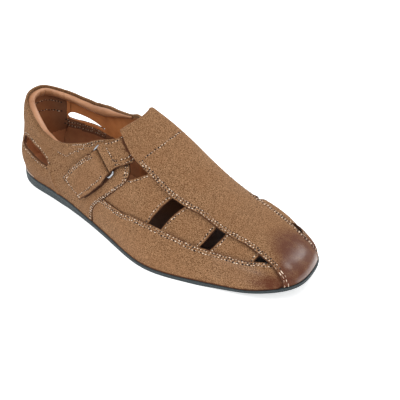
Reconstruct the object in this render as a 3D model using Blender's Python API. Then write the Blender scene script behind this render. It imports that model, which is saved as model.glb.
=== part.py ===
"""Closed-toe sandal with a hook-and-loop strap: the right shoe of a pair, about EU 43.

The upper, the straps and the sole are all worked out from one last. Tables and sizes are in
millimetres: x runs from the back of the heel to the toe, the lateral side is at -y, z is up.
A place on the last is a station q, the share of the way round the outline from the back of the
heel over the lateral side, and a share t, from 0 at the sole to 1 on the ridge of the foot.
"""
import bmesh
import bpy
import numpy as np
from mathutils import Matrix

MM = 0.001
# The last's x and y at the middle of the finished shoe's box, which is the part's origin.
MIDDLE_X = 144.1
MIDDLE_Y = -2.0
MERGE_DISTANCE = 1e-7

# Outline of the sole and of the upper's lower edge: place, x, y.
OUTLINE = [
    ("heel back", -1.4, 1.0),
    ("heel curve, lateral", 8.2, -22.1),
    ("heel side, lateral", 45.9, -30.2),
    ("waist, lateral", 100.0, -38.6),
    ("joint, lateral", 145.0, -47.4),
    ("ball, lateral", 185.0, -54.7),
    ("little toe", 219.0, -47.5),
    ("toe side, lateral", 247.5, -38.6),
    ("toe corner, lateral", 272.5, -31.0),
    ("toe front, lateral", 291.3, -14.0),
    ("toe tip", 289.8, 8.0),
    ("toe front, medial", 281.8, 27.2),
    ("big toe", 266.0, 40.7),
    ("ball, medial", 230.0, 50.0),
    ("joint, medial", 195.0, 48.5),
    ("arch front", 140.0, 35.0),
    ("arch", 100.0, 28.5),
    ("heel side, medial", 45.0, 33.0),
    ("heel curve, medial", 10.0, 21.0),
]

# Sections of the last. The ridge is the top line of the foot, which at the heel lies above the
# collar; fullness is the power of the section's curve; swell is the bulge above the sole.
SECTION_COLUMNS = ("x", "ridge_z", "ridge_y", "feather_z", "sole_z", "fullness", "swell")
SECTIONS = [
    (0, 134.0, 0.0, 12.0, 5.0, 2.31, 3.1),
    (12, 133.5, 0.0, 10.0, 1.5, 2.30, 3.1),
    (30, 132.0, 0.0, 8.5, 0.0, 2.26, 3.1),
    (45, 130.3, 0.0, 8.3, 0.0, 2.21, 3.1),
    (65, 126.0, 0.3, 8.1, 0.0, 2.06, 2.3),
    (80, 121.3, 1.0, 7.7, 1.4, 1.91, 1.5),
    (105, 109.3, 2.3, 6.5, 3.0, 1.80, 1.0),
    (128, 98.8, 5.5, 5.8, 1.7, 1.82, 1.0),
    (150, 86.7, 9.0, 5.2, 0.3, 1.86, 1.0),
    (162, 79.0, 9.3, 4.9, 0.0, 1.87, 1.0),
    (180, 66.8, 8.5, 4.5, 0.0, 1.87, 1.0),
    (210, 48.1, 6.0, 4.6, 0.0, 1.90, 0.9),
    (225, 43.2, 6.2, 5.0, 0.0, 1.98, 0.5),
    (240, 39.5, 6.5, 5.8, 1.1, 2.07, 0.2),
    (260, 35.7, 6.0, 8.3, 4.2, 2.20, -0.1),
    (280, 33.5, 5.0, 12.4, 8.7, 2.34, -0.1),
    (295, 33.0, 5.0, 16.0, 12.5, 2.46, -0.1),
]
HEEL_POLE = 48.0
TOE_POLE = 208.0
SWELL_HEIGHT = 16.0
SWELL_REACH = 13.0
SWELL_START = 5.0
OUTLINE_SAMPLES = 2400
NORMAL_STEP = 0.004

# Leather layers, as depths below the last's surface.
STRIP_WALL = (0.0, 1.8)
GUARD_WALL = (0.4, 2.1)
PANEL_WALL = (1.2, 2.8)
QUARTER_WALL = (0.0, 1.8)
FIT_GAP = 0.3

# Grid of each layer: columns along it and rows across it.
GRIDS = {
    "strip": (34, 10),
    "tunnel": (9, 15),
    "mudguard": (24, 3),
    "panel": (5, 4),
    "quarters": (48, 13),
    "slot": (12, 1),
    "strap": (38, 4),
    "closure strap": (12, 4),
}

# Centre strip: outline x and share t of its two edges, from the loop's fold to the toe.
STRIP_COLUMNS = ("lateral_x", "lateral_t", "medial_x", "medial_t")
STRIP = [
    (126, 0.620, 126, 0.600),
    (146, 0.560, 147, 0.555),
    (163, 0.575, 164, 0.530),
    (180, 0.590, 181, 0.510),
    (199, 0.635, 199, 0.500),
    (214, 0.662, 213, 0.500),
    (236, 0.629, 228, 0.490),
    (256, 0.602, 243, 0.460),
    (272, 0.560, 256, 0.420),
    (282, 0.490, 266, 0.380),
    (286, 0.410, 273, 0.330),
    (287, 0.250, 277, 0.220),
    (286.7, 0.0, 279, 0.0),
]
FOLD_BOW = 10.0
FOLD_BOW_ROWS = 4.0
TOE_ROUND_FROM = 0.55

# Loop of the strip: its under layer, and the tunnel in it for the strap, in rows of the strip.
LOOP_FLOOR = 4.7
LOOP_UNDER = 6.1
LOOP_END = (2.0, 2.7)
TUNNEL_ROWS = (0.08, 1.62)
TUNNEL_OVERHANG = 0.12

# Mudguard: outline x and share t of its top edge on each side.
GUARD_COLUMNS = ("x", "lateral_t", "medial_t")
GUARD = [
    (96, 0.170, 0.170),
    (127, 0.206, 0.200),
    (149, 0.247, 0.220),
    (171, 0.317, 0.250),
    (190, 0.358, 0.270),
    (207, 0.388, 0.285),
    (226, 0.380, 0.285),
    (249, 0.385, 0.275),
    (262, 0.388, 0.285),
    (275, 0.404, 0.310),
    (287, 0.413, 0.330),
]
GUARD_REAR_X = 98.0
GUARD_TOE_X = {"lateral": 289.3, "medial": 283.0}

# Cross panels between the windows: side, and outline x of the rear and front edges at even steps
# from the panel's foot under the mudguard to its top under the strip.
PANEL_COLUMNS = ("side", "rear_x", "front_x")
PANELS = [
    ("lateral", (108.0, 118.0, 130.0, 148.5, 158.0, 164.5), (180.0, 191.0)),
    ("lateral", (189.5, 199.0), (224.5, 239.5)),
    ("lateral", (233.0, 252.0), (274.0, 282.0)),
    ("medial", (108.0, 118.0, 130.0, 148.0, 158.0, 165.0), (176.5, 184.5)),
    ("medial", (186.5, 193.5), (212.5, 220.5)),
    ("medial", (221.5, 231.5), (255.0, 259.5)),
]
PANEL_FOOT_UNDER = 0.07
PANEL_TOP_UNDER = 0.06

# Quarters: collar line round the heel and front edge of both sides.
COLLAR_COLUMNS = ("x", "lateral_t", "medial_t")
COLLAR = [
    (-1.4, 0.332, 0.332),
    (8, 0.318, 0.304),
    (20, 0.295, 0.282),
    (31, 0.274, 0.276),
    (41, 0.261, 0.277),
    (53, 0.256, 0.292),
    (62, 0.266, 0.315),
    (70, 0.287, 0.338),
    (85, 0.347, 0.398),
    (96, 0.402, 0.452),
    (106, 0.459, 0.510),
    (116, 0.514, 0.555),
    (128, 0.600, 0.595),
]
FRONT_EDGE_COLUMNS = ("t", "x")
FRONT_EDGE = [
    (0.0, 110.2),
    (0.066, 111.4),
    (0.120, 115.6),
    (0.162, 120.8),
    (0.208, 126.9),
    (0.293, 136.0),
    (0.386, 144.0),
    (0.444, 147.8),
    (0.490, 147.5),
    (0.540, 141.0),
    (0.600, 127.0),
]
COLLAR_PAD = 3.2
COLLAR_PAD_REACH = 0.22
COLLAR_PAD_X = (70.0, 108.0)
COLLAR_EDGE_ROUND = 1.0
COLLAR_EDGE_FROM = 0.95

# Rear slots, one on each side of the heel: outline x, lower and upper share t. The cut runs from
# outside the wall to inside it.
SLOT_CUT = (-6.0, 9.0)
SLOT_COLUMNS = ("x", "lower_t", "upper_t")
SLOTS = {
    "lateral": [
        (13.0, 0.122, 0.140),
        (14.5, 0.112, 0.153),
        (19.0, 0.108, 0.156),
        (27.0, 0.106, 0.151),
        (38.0, 0.098, 0.138),
        (46.0, 0.097, 0.126),
        (50.0, 0.100, 0.110),
    ],
    "medial": [
        (11.0, 0.160, 0.172),
        (12.5, 0.148, 0.182),
        (18.0, 0.143, 0.187),
        (27.0, 0.145, 0.183),
        (38.0, 0.149, 0.174),
        (45.0, 0.151, 0.167),
        (49.0, 0.154, 0.160),
    ],
}

# The quarters dip under the instep strap, which itself dips under the strip.
SINK = 4.6
SINK_T = (0.42, 0.55)
SINK_X = (100.0, 122.0)

# Instep strap: plan x and y of its rear and front edges, from the medial end to the ring.
STRAP_COLUMNS = ("rear_x", "rear_y", "front_x", "front_y")
STRAP = [
    (92.0, 25.6, 110.5, 27.8),
    (103.0, 23.9, 122.0, 27.9),
    (117.0, 22.2, 135.0, 27.8),
    (130.6, 19.6, 147.0, 26.6),
    (136.4, 12.0, 150.5, 18.0),
    (139.6, 3.0, 153.5, 6.0),
    (137.2, -10.0, 151.0, -14.0),
    (129.8, -19.9, 147.0, -25.6),
    (121.0, -26.2, 138.5, -30.6),
    (114.0, -29.6, 133.5, -34.6),
]
STRAP_GAP = 0.5
STRAP_WALL = 1.8

# Closure strap: outline x and share t of its rear and front edges, from the ring to the tab's end.
CLOSURE_COLUMNS = ("rear_x", "rear_t", "front_x", "front_t")
CLOSURE = [
    (107.5, 0.402, 127.0, 0.325),
    (100.5, 0.345, 120.0, 0.268),
    (92.0, 0.275, 111.5, 0.205),
    (83.0, 0.200, 103.0, 0.150),
    (75.5, 0.133, 97.5, 0.116),
]
CLOSURE_WALL = 3.4

# Ring of round wire that both straps are folded round.
RING_HALF_LENGTH = 13.9
RING_HALF_WIDTH = 3.1
RING_CORNER = 1.6
RING_WIRE = 0.9
RING_CORNER_STEPS = 3
FOLD_LEATHER = 1.3
FOLD_WIDTH = 24.0
FOLD_SIDES = 16
BORE_SPARE = 10.0
BORE_SIDES = 12

# Sole unit: height share and inset of the rows of its side, with two ribs between grooves.
SOLE_SIDE_COLUMNS = ("height", "inset")
SOLE_SIDE = [
    (0.0, 1.6),
    (0.12, 0.2),
    (0.34, 0.0),
    (0.38, 0.6),
    (0.46, 0.6),
    (0.50, 0.0),
    (0.66, 0.0),
    (0.70, 0.6),
    (0.78, 0.6),
    (0.82, 0.0),
    (1.0, 0.0),
]
SOLE_RUNGS = 38
GROOVE_DEPTH = 1.2
GROOVE_WIDTH = 3.0
GROOVE_PITCH = 9.5
GROOVE_BORDER = 9.0
GROOVE_RUNS = [(22.0, 72.0), (152.0, 246.0)]

# Footbed inside the upper.
INSOLE_INSET = 3.5
INSOLE_THICKNESS = 3.0
INSOLE_EDGE = 0.8

COLOURS = {
    "nubuck": ((0.30, 0.17, 0.085), 0.85, 0.0),
    "rubber": ((0.045, 0.055, 0.065), 0.7, 0.0),
    "footbed": ((0.16, 0.055, 0.025), 0.6, 0.0),
    "steel": ((0.55, 0.57, 0.60), 0.35, 1.0),
}


def smooth_curve(xs, ys):
    """Monotone cubic curve through a table's column."""
    xs = np.array(xs, float)
    ys = np.array(ys, float)
    step = np.diff(xs)
    slope = np.diff(ys) / step
    tangent = np.zeros_like(ys)
    tangent[0] = slope[0]
    tangent[-1] = slope[-1]
    for i in range(1, len(xs) - 1):
        if slope[i - 1] * slope[i] > 0:
            before = 2 * step[i] + step[i - 1]
            after = step[i] + 2 * step[i - 1]
            tangent[i] = (before + after) / (before / slope[i - 1] + after / slope[i])

    def value(x):
        x = np.clip(x, xs[0], xs[-1])
        i = np.clip(np.searchsorted(xs, x) - 1, 0, len(xs) - 2)
        s = (x - xs[i]) / step[i]
        rise = ys[i + 1] - ys[i]
        bend = s * (1 - s) * ((1 - s) * (tangent[i] * step[i] - rise) - s * (tangent[i + 1] * step[i] - rise))
        return ys[i] + s * rise + bend

    return value


def columns_of(table, names):
    """A table's columns by name."""
    return {name: [row[i] for row in table] for i, name in enumerate(names)}


def smooth_step(value, start, end):
    s = np.clip((value - start) / (end - start), 0, 1)
    return s * s * (3 - 2 * s)


def closed_outline(points):
    """Points of a periodic cubic spline through the given ones, with even spacing along its length."""
    points = np.array(points, float)
    count = len(points)
    chord = np.linalg.norm(np.roll(points, -1, axis=0) - points, axis=1)
    span = np.sqrt(chord)
    matrix = np.zeros((count, count))
    right = np.zeros_like(points)
    for i in range(count):
        before = span[i - 1]
        after = span[i]
        following = (i + 1) % count
        matrix[i, i - 1] += before
        matrix[i, i] += 2 * (before + after)
        matrix[i, following] += after
        right[i] = 6 * ((points[following] - points[i]) / after - (points[i] - points[i - 1]) / before)
    bend = np.linalg.solve(matrix, right)
    places = np.linspace(0, count, OUTLINE_SAMPLES * 2, endpoint=False)
    i = places.astype(int)
    s = ((places - i) * span[i])[:, None]
    h = span[i][:, None]
    j = (i + 1) % count
    curve = (bend[i] * (h - s) ** 3 + bend[j] * s ** 3) / (6 * h)
    curve += (points[i] / h - bend[i] * h / 6) * (h - s) + (points[j] / h - bend[j] * h / 6) * s
    lengths = np.linalg.norm(np.roll(curve, -1, axis=0) - curve, axis=1)
    along = np.concatenate([[0], np.cumsum(lengths)])
    closed = np.vstack([curve, curve[:1]])
    even = np.linspace(0, along[-1], OUTLINE_SAMPLES + 1)
    return np.stack([np.interp(even, along, closed[:, k]) for k in range(2)], axis=1)


OUTLINE_CURVE = closed_outline([row[1:] for row in OUTLINE])
OUTLINE_SHARE = np.linspace(0, 1, len(OUTLINE_CURVE))
TOE_SAMPLE = int(np.argmax(OUTLINE_CURVE[:, 0]))
SECTION = columns_of(SECTIONS, SECTION_COLUMNS)
LAST = {name: smooth_curve(SECTION["x"], SECTION[name]) for name in SECTION_COLUMNS[1:]}


def outline_point(q):
    """Outline x and y at a station."""
    q = np.mod(q, 1.0)
    return np.stack([np.interp(q, OUTLINE_SHARE, OUTLINE_CURVE[:, k]) for k in range(2)], axis=-1)


def station(x, side):
    """Station of an outline x on one side. Medial stations are negative, so they run on past the heel."""
    heel = int(np.argmin(OUTLINE_CURVE[:TOE_SAMPLE, 0]))
    if side == "lateral":
        part = slice(heel, TOE_SAMPLE + 1)
        return np.interp(x, OUTLINE_CURVE[part, 0], OUTLINE_SHARE[part])
    curve = OUTLINE_CURVE[TOE_SAMPLE:][::-1]
    share = OUTLINE_SHARE[TOE_SAMPLE:][::-1] - 1
    return np.interp(x, curve[:, 0], share)


def spine(x):
    """Middle of the fan of sections that an outline point belongs to."""
    x = np.clip(x, HEEL_POLE, TOE_POLE)
    return np.stack([x, LAST["ridge_y"](x)], axis=-1)


def plan_of(q, t):
    """Plan x and y of a place, before the swell."""
    edge = outline_point(q)
    middle = spine(edge[..., 0])
    share = np.cos(np.clip(t, 0, 1) * np.pi / 2) ** (2 / LAST["fullness"](edge[..., 0]))
    return middle + (edge - middle) * share[..., None]


def last_point(q, t):
    """Point of the last's surface."""
    edge = outline_point(q)
    x = edge[..., 0]
    plan = plan_of(q, t)
    foot = LAST["feather_z"](x)
    rise = np.sin(np.clip(t, 0, 1) * np.pi / 2) ** (2 / LAST["fullness"](x))
    height = (LAST["ridge_z"](plan[..., 0]) - foot) * rise
    outward = edge - spine(x)
    outward = outward / np.linalg.norm(outward, axis=-1, keepdims=True)
    swell = LAST["swell"](x) * np.exp(-((height - SWELL_HEIGHT) / SWELL_REACH) ** 2)
    swell = swell * (1 - np.exp(-(height / SWELL_START) ** 2))
    plan = plan + outward * swell[..., None]
    return np.concatenate([plan, (foot + height)[..., None]], axis=-1)


def place_in_plan(x, y):
    """Station and share of a plan point in front of the heel."""
    middle_y = LAST["ridge_y"](np.clip(x, HEEL_POLE, TOE_POLE))
    pole_y = LAST["ridge_y"](TOE_POLE)
    lateral = y < middle_y
    q_side = np.where(lateral, station(x, "lateral"), station(x, "medial"))
    front = OUTLINE_CURVE[:, 0] >= TOE_POLE
    angles = np.arctan2(OUTLINE_CURVE[front, 1] - pole_y, OUTLINE_CURVE[front, 0] - TOE_POLE)
    q_fan = np.interp(np.arctan2(y - pole_y, x - TOE_POLE), angles, OUTLINE_SHARE[front])
    q = np.where(x > TOE_POLE, q_fan, q_side)
    edge = outline_point(q)
    middle = spine(edge[..., 0])
    reach = np.linalg.norm(edge - middle, axis=-1)
    plan = np.stack([x, y], axis=-1)
    share = np.clip(np.linalg.norm(plan - middle, axis=-1) / reach, 0, 1)
    t = np.arccos(share ** (LAST["fullness"](edge[..., 0]) / 2)) * 2 / np.pi
    return q, t, share


def sink_of(q, t):
    """Dip of the quarters and straps at the instep."""
    x = outline_point(q)[..., 0]
    return SINK * smooth_step(t, *SINK_T) * smooth_step(x, *SINK_X)


def surface_with_normal(where, u, v):
    """Points of a patch of the last and their outward normals."""
    points = last_point(*where(u, v))
    near_u = np.clip(u, NORMAL_STEP, 1 - NORMAL_STEP)
    near_v = np.clip(v, NORMAL_STEP, 1 - NORMAL_STEP)
    along_u = last_point(*where(near_u + NORMAL_STEP, v)) - last_point(*where(near_u - NORMAL_STEP, v))
    along_v = last_point(*where(u, near_v + NORMAL_STEP)) - last_point(*where(u, near_v - NORMAL_STEP))
    normal = np.cross(along_u, along_v)
    normal = normal / np.linalg.norm(normal, axis=-1, keepdims=True)
    level = np.full(points.shape[:-1] + (1,), SWELL_HEIGHT)
    inside = np.concatenate([spine(points[..., 0]), level], axis=-1)
    return points, normal * np.sign(np.sum(normal * (points - inside)))


def to_part(points):
    """Last millimetres to the part's frame in metres."""
    return (np.asarray(points, float) - np.array([MIDDLE_X, MIDDLE_Y, 0.0])) * MM


def mesh_object(name, points, faces, collection):
    """Mesh object from points in last millimetres, faces turned outwards."""
    mesh = bpy.data.meshes.new(name)
    mesh.from_pydata(to_part(points).tolist(), [], faces)
    shape = bmesh.new()
    shape.from_mesh(mesh)
    bmesh.ops.remove_doubles(shape, verts=shape.verts, dist=MERGE_DISTANCE)
    bmesh.ops.recalc_face_normals(shape, faces=shape.faces)
    shape.to_mesh(mesh)
    shape.free()
    obj = bpy.data.objects.new(name, mesh)
    collection.objects.link(obj)
    return obj


def grid_faces(columns, rows, first):
    """Quads of a grid of points that starts at index first."""
    faces = []
    for i in range(columns):
        for j in range(rows):
            corner = first + i * (rows + 1) + j
            faces.append((corner, corner + 1, corner + rows + 2, corner + rows + 1))
    return faces


def layer(name, where, grid, outer, inner, collection):
    """Closed leather layer over a patch of the last, between two depths that may vary over it."""
    columns, rows = GRIDS[grid]
    u, v = np.meshgrid(np.linspace(0, 1, columns + 1), np.linspace(0, 1, rows + 1), indexing="ij")
    points, normal = surface_with_normal(where, u, v)
    q, t = where(u, v)
    depths = [np.broadcast_to(depth(q, t, u, v), u.shape)[..., None] for depth in (outer, inner)]
    skins = [points - normal * depth for depth in depths]
    vertices = np.concatenate([skin.reshape(-1, 3) for skin in skins])
    lower = u.size
    faces = grid_faces(columns, rows, 0) + grid_faces(columns, rows, lower)
    rim = [i * (rows + 1) for i in range(columns + 1)]
    rim += [columns * (rows + 1) + j for j in range(1, rows + 1)]
    rim += [i * (rows + 1) + rows for i in range(columns - 1, -1, -1)]
    rim += list(range(rows - 1, 0, -1))
    for a, b in zip(rim, rim[1:] + rim[:1]):
        faces.append((a, b, b + lower, a + lower))
    return mesh_object(name, vertices, faces, collection)


def plain(depth):
    """Depth that is the same all over a layer."""
    return lambda q, t, u, v: depth


def combine(obj, others, operation):
    """Join or cut an object with others, which then stay as hidden guides."""
    for other in others:
        modifier = obj.modifiers.new(operation.lower() + " " + other.name, "BOOLEAN")
        modifier.operation = operation
        modifier.solver = "EXACT"
        modifier.object = other
        other.hide_render = True
        other.display_type = "WIRE"


def material(name):
    colour, roughness, metallic = COLOURS[name]
    made = bpy.data.materials.new(name)
    made.use_nodes = True
    shader = made.node_tree.nodes["Principled BSDF"]
    shader.inputs["Base Color"].default_value = (*colour, 1)
    shader.inputs["Roughness"].default_value = roughness
    shader.inputs["Metallic"].default_value = metallic
    return made


def strip_patch():
    """Map of the centre strip, from the loop's fold to the toe and from the lateral to the medial edge."""
    table = columns_of(STRIP, STRIP_COLUMNS)
    rows = np.arange(len(STRIP))
    edges = {}
    for side in ("lateral", "medial"):
        q = station(np.array(table[side + "_x"], float), side)
        plan = plan_of(q, np.array(table[side + "_t"], float))
        edges[side] = [smooth_curve(rows, plan[:, k]) for k in range(2)]

    def where(u, v):
        row = u * (len(STRIP) - 1)
        lateral = np.stack([curve(row) for curve in edges["lateral"]], axis=-1)
        medial = np.stack([curve(row) for curve in edges["medial"]], axis=-1)
        plan = lateral + (medial - lateral) * v[..., None]
        bow = FOLD_BOW * (1 - smooth_step(row, 0, FOLD_BOW_ROWS))
        x = plan[..., 0] + bow * 4 * v * (1 - v)
        q, t, share = place_in_plan(x, plan[..., 1])
        end_shares = [place_in_plan(edge[..., 0], edge[..., 1])[2] for edge in (lateral, medial)]
        level = end_shares[0] + (end_shares[1] - end_shares[0]) * v
        rounded = share + (level - share) * smooth_step(u, TOE_ROUND_FROM, 1)
        fullness = LAST["fullness"](outline_point(q)[..., 0])
        return q, np.arccos(np.clip(rounded, 0, 1) ** (fullness / 2)) * 2 / np.pi

    return where


def make_strip(collection):
    """Centre strip with its folded loop at the instep."""
    where = strip_patch()
    rows = len(STRIP) - 1

    def inner(q, t, u, v):
        loop = 1 - smooth_step(u * rows, *LOOP_END)
        return STRIP_WALL[1] + (LOOP_UNDER - STRIP_WALL[1]) * loop

    strip = layer("upper", where, "strip", plain(STRIP_WALL[0]), inner, collection)

    def tunnel_where(u, v):
        row = TUNNEL_ROWS[0] + (TUNNEL_ROWS[1] - TUNNEL_ROWS[0]) * u
        across = -TUNNEL_OVERHANG + (1 + 2 * TUNNEL_OVERHANG) * v
        return where(row / rows, across)

    tunnel = layer("strap tunnel", tunnel_where, "tunnel", plain(STRIP_WALL[1]), plain(LOOP_FLOOR), guides)
    combine(strip, [tunnel], "DIFFERENCE")
    return strip


def make_guard(side):
    """Mudguard of one side, from under the quarter to under the strip at the toe."""
    table = columns_of(GUARD, GUARD_COLUMNS)
    top = smooth_curve(table["x"], table[side + "_t"])
    ends = station(np.array([GUARD_REAR_X, GUARD_TOE_X[side]]), side)

    def where(u, v):
        q = ends[0] + (ends[1] - ends[0]) * u
        return q, v * top(outline_point(q)[..., 0])

    return layer("mudguard " + side, where, "mudguard", plain(GUARD_WALL[0]), plain(GUARD_WALL[1]), guides)


def make_panel(row):
    """Cross panel between two windows, sewn under the strip and the mudguard."""
    panel = dict(zip(PANEL_COLUMNS, row))
    side = panel["side"]
    guard = columns_of(GUARD, GUARD_COLUMNS)
    strip = columns_of(STRIP, STRIP_COLUMNS)
    foot = smooth_curve(guard["x"], guard[side + "_t"])
    # The strip's last two rows turn down to the sole, past the panels.
    top = smooth_curve(strip[side + "_x"][:-2], strip[side + "_t"][:-2])
    edges = [smooth_curve(np.linspace(0, 1, len(panel[name])), panel[name]) for name in PANEL_COLUMNS[1:]]

    def where(u, v):
        x = edges[0](v) + (edges[1](v) - edges[0](v)) * u
        low = foot(x) - PANEL_FOOT_UNDER
        high = top(x) + PANEL_TOP_UNDER
        return station(x, side), low + (high - low) * v

    name = "panel %s %d" % (side, panel["rear_x"][0])
    return layer(name, where, "panel", plain(PANEL_WALL[0]), plain(PANEL_WALL[1]), guides)


def quarter_patch():
    """Map of the quarters, from the lateral front edge round the heel to the medial one."""
    collar = columns_of(COLLAR, COLLAR_COLUMNS)
    edge = columns_of(FRONT_EDGE, FRONT_EDGE_COLUMNS)
    front_x = smooth_curve(edge["t"], edge["x"])
    collar_x = np.array(collar["x"], float)
    stations = np.concatenate([station(collar_x[:0:-1], "medial"), station(collar_x, "lateral")])
    stations[len(collar_x) - 1] = 0
    shares = collar["medial_t"][:0:-1] + collar["lateral_t"]
    collar_t = smooth_curve(stations, shares)
    top_t = edge["t"][-1]

    def where(u, v):
        front = front_x(v * top_t)
        q = station(front, "lateral") + (station(front, "medial") - station(front, "lateral")) * u
        ends = [station(front_x(top_t), side) for side in ("lateral", "medial")]
        return q, v * collar_t(ends[0] + (ends[1] - ends[0]) * u)

    return where


def make_quarters():
    """Both quarters as one wall round the heel, with a padded collar and a slot on each side."""

    def edge_round(v):
        return COLLAR_EDGE_ROUND * smooth_step(v, COLLAR_EDGE_FROM, 1)

    def outer(q, t, u, v):
        return QUARTER_WALL[0] + sink_of(q, t) + edge_round(v)

    def inner(q, t, u, v):
        x = outline_point(q)[..., 0]
        pad = COLLAR_PAD * np.exp(-((1 - v) / COLLAR_PAD_REACH) ** 2) * (1 - smooth_step(x, *COLLAR_PAD_X))
        return QUARTER_WALL[1] + sink_of(q, t) + pad - edge_round(v)

    quarters = layer("quarters", quarter_patch(), "quarters", outer, inner, guides)
    combine(quarters, [make_slot(side) for side in ("lateral", "medial")], "DIFFERENCE")
    return quarters


def make_slot(side):
    """Cutter for the slot at the side of the heel, deeper than the wall."""
    table = columns_of(SLOTS[side], SLOT_COLUMNS)
    lower = smooth_curve(table["x"], table["lower_t"])
    upper = smooth_curve(table["x"], table["upper_t"])

    def where(u, v):
        x = table["x"][0] + (table["x"][-1] - table["x"][0]) * u
        return station(x, side), lower(x) + (upper(x) - lower(x)) * v

    return layer("slot " + side, where, "slot", plain(SLOT_CUT[0]), plain(SLOT_CUT[1]), guides)


def make_upper():
    """The whole upper as one hollow solid: strip, mudguards, cross panels and quarters."""
    upper = make_strip(parts)
    layers = [make_panel(row) for row in PANELS]
    layers += [make_guard(side) for side in ("lateral", "medial")]
    layers.append(make_quarters())
    combine(upper, layers, "UNION")
    upper.data.materials.append(material("nubuck"))
    return upper


def band_patch(table, names, place):
    """Map of a strap between its rear and front edges, which a table gives in two values each."""
    rows = np.arange(len(table))
    rear_first, rear_second, front_first, front_second = [
        smooth_curve(rows, column) for column in columns_of(table, names).values()
    ]

    def where(u, v):
        row = u * (len(table) - 1)
        first = rear_first(row) + (front_first(row) - rear_first(row)) * v
        second = rear_second(row) + (front_second(row) - rear_second(row)) * v
        return place(first, second)

    return where


def unit(vector):
    return vector / np.linalg.norm(vector)


def strap_end(where, u):
    """Middle of the ring's bar at a strap's folded end, and the bar's direction."""
    ends, normal = surface_with_normal(where, np.array([u, u, u]), np.array([0.0, 0.5, 1.0]))
    along = unit(ends[2] - ends[0])
    outward = unit(normal[1] - along * np.dot(normal[1], along))
    q, t = where(np.array([u]), np.array([0.5]))
    rise = RING_WIRE + FIT_GAP + FOLD_LEATHER + FIT_GAP - sink_of(q, t)[0]
    return ends[1] + outward * rise, along


def rod(name, middle, along, radius, length, sides):
    """Round rod through a point of the last's frame."""
    bpy.ops.mesh.primitive_cylinder_add(vertices=sides, radius=radius * MM, depth=length * MM)
    obj = bpy.context.object
    obj.name = name
    across = unit(np.cross([0.0, 0.0, 1.0], along))
    turn = np.stack([across, np.cross(along, across), along], axis=1)
    frame = Matrix(turn.tolist()).to_4x4()
    frame.translation = to_part(middle)
    obj.data.transform(frame)
    obj.location = (0, 0, 0)
    for owner in obj.users_collection:
        owner.objects.unlink(obj)
    guides.objects.link(obj)
    return obj


def fold_round_bar(strap, bar, along):
    """Folded end of a strap, with room for the ring's bar in it."""
    bore_radius = RING_WIRE + FIT_GAP
    fold = rod(strap.name + " fold", bar, along, bore_radius + FOLD_LEATHER, FOLD_WIDTH, FOLD_SIDES)
    bore = rod(strap.name + " bore", bar, along, bore_radius, FOLD_WIDTH + BORE_SPARE, BORE_SIDES)
    combine(strap, [fold], "UNION")
    combine(strap, [bore], "DIFFERENCE")


def make_straps():
    """Instep strap, closure strap and the ring that joins them."""
    instep = band_patch(STRAP, STRAP_COLUMNS, lambda x, y: place_in_plan(x, y)[:2])
    closure = band_patch(CLOSURE, CLOSURE_COLUMNS, lambda x, t: (station(x, "lateral"), t))

    def lying(wall):
        def outer(q, t, u, v):
            return sink_of(q, t) - STRAP_GAP - wall

        def inner(q, t, u, v):
            return sink_of(q, t) - STRAP_GAP

        return outer, inner

    strap = layer("strap", instep, "strap", *lying(STRAP_WALL), parts)
    tab = layer("closure_strap", closure, "closure strap", *lying(CLOSURE_WALL), parts)
    front_end, front_along = strap_end(instep, 1.0)
    rear_end, rear_along = strap_end(closure, 0.0)
    middle = 0.5 * (front_end + rear_end)
    along = unit(front_along + rear_along)
    across = front_end - rear_end
    across = unit(across - along * np.dot(across, along))
    fold_round_bar(strap, middle + across * RING_HALF_WIDTH, along)
    fold_round_bar(tab, middle - across * RING_HALF_WIDTH, along)
    ring = make_ring(middle, along, across)
    strap.data.materials.append(material("nubuck"))
    tab.data.materials.append(material("nubuck"))
    ring.data.materials.append(material("steel"))


def make_ring(middle, along, across):
    """Rectangular wire ring through the two folded ends."""
    corners = []
    for turn in range(4):
        side_along = 1 if turn in (0, 1) else -1
        side_across = 1 if turn in (0, 3) else -1
        centre = along * side_along * (RING_HALF_LENGTH - RING_CORNER)
        centre = centre + across * side_across * (RING_HALF_WIDTH - RING_CORNER)
        for step in range(RING_CORNER_STEPS + 1):
            angle = (turn + step / RING_CORNER_STEPS) * np.pi / 2
            bend = across * np.cos(angle) + along * np.sin(angle)
            corners.append(middle + centre + RING_CORNER * bend)
    curve = bpy.data.curves.new("ring", "CURVE")
    curve.dimensions = "3D"
    curve.bevel_depth = RING_WIRE * MM
    curve.bevel_resolution = 2
    wire = curve.splines.new("POLY")
    wire.points.add(len(corners) - 1)
    wire.use_cyclic_u = True
    for point, corner in zip(wire.points, to_part(corners)):
        point.co = (*corner, 1)
    ring = bpy.data.objects.new("ring", curve)
    parts.objects.link(ring)
    return ring


def rung_stations():
    """Stations round the shoe in pairs that face each other across it, from heel to toe and back."""
    heel = station(np.array([OUTLINE_CURVE[:, 0].min()]), "lateral")
    toe = station(np.array([OUTLINE_CURVE[:, 0].max()]), "lateral")
    lateral = np.linspace(heel[0], toe[0], SOLE_RUNGS + 2)[1:-1]
    medial = station(outline_point(lateral)[:, 0], "medial")
    return np.concatenate([heel, lateral, toe, medial[::-1]])


def ring_points(inset, height):
    """Points round the shoe, inset from the outline, at a height that depends on x."""
    edge = outline_point(rung_stations())
    middle = spine(edge[:, 0])
    reach = np.linalg.norm(edge - middle, axis=1, keepdims=True)
    plan = middle + (edge - middle) * (1 - inset / reach)
    return np.concatenate([plan, height(plan[:, 0])[:, None]], axis=1)


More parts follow.
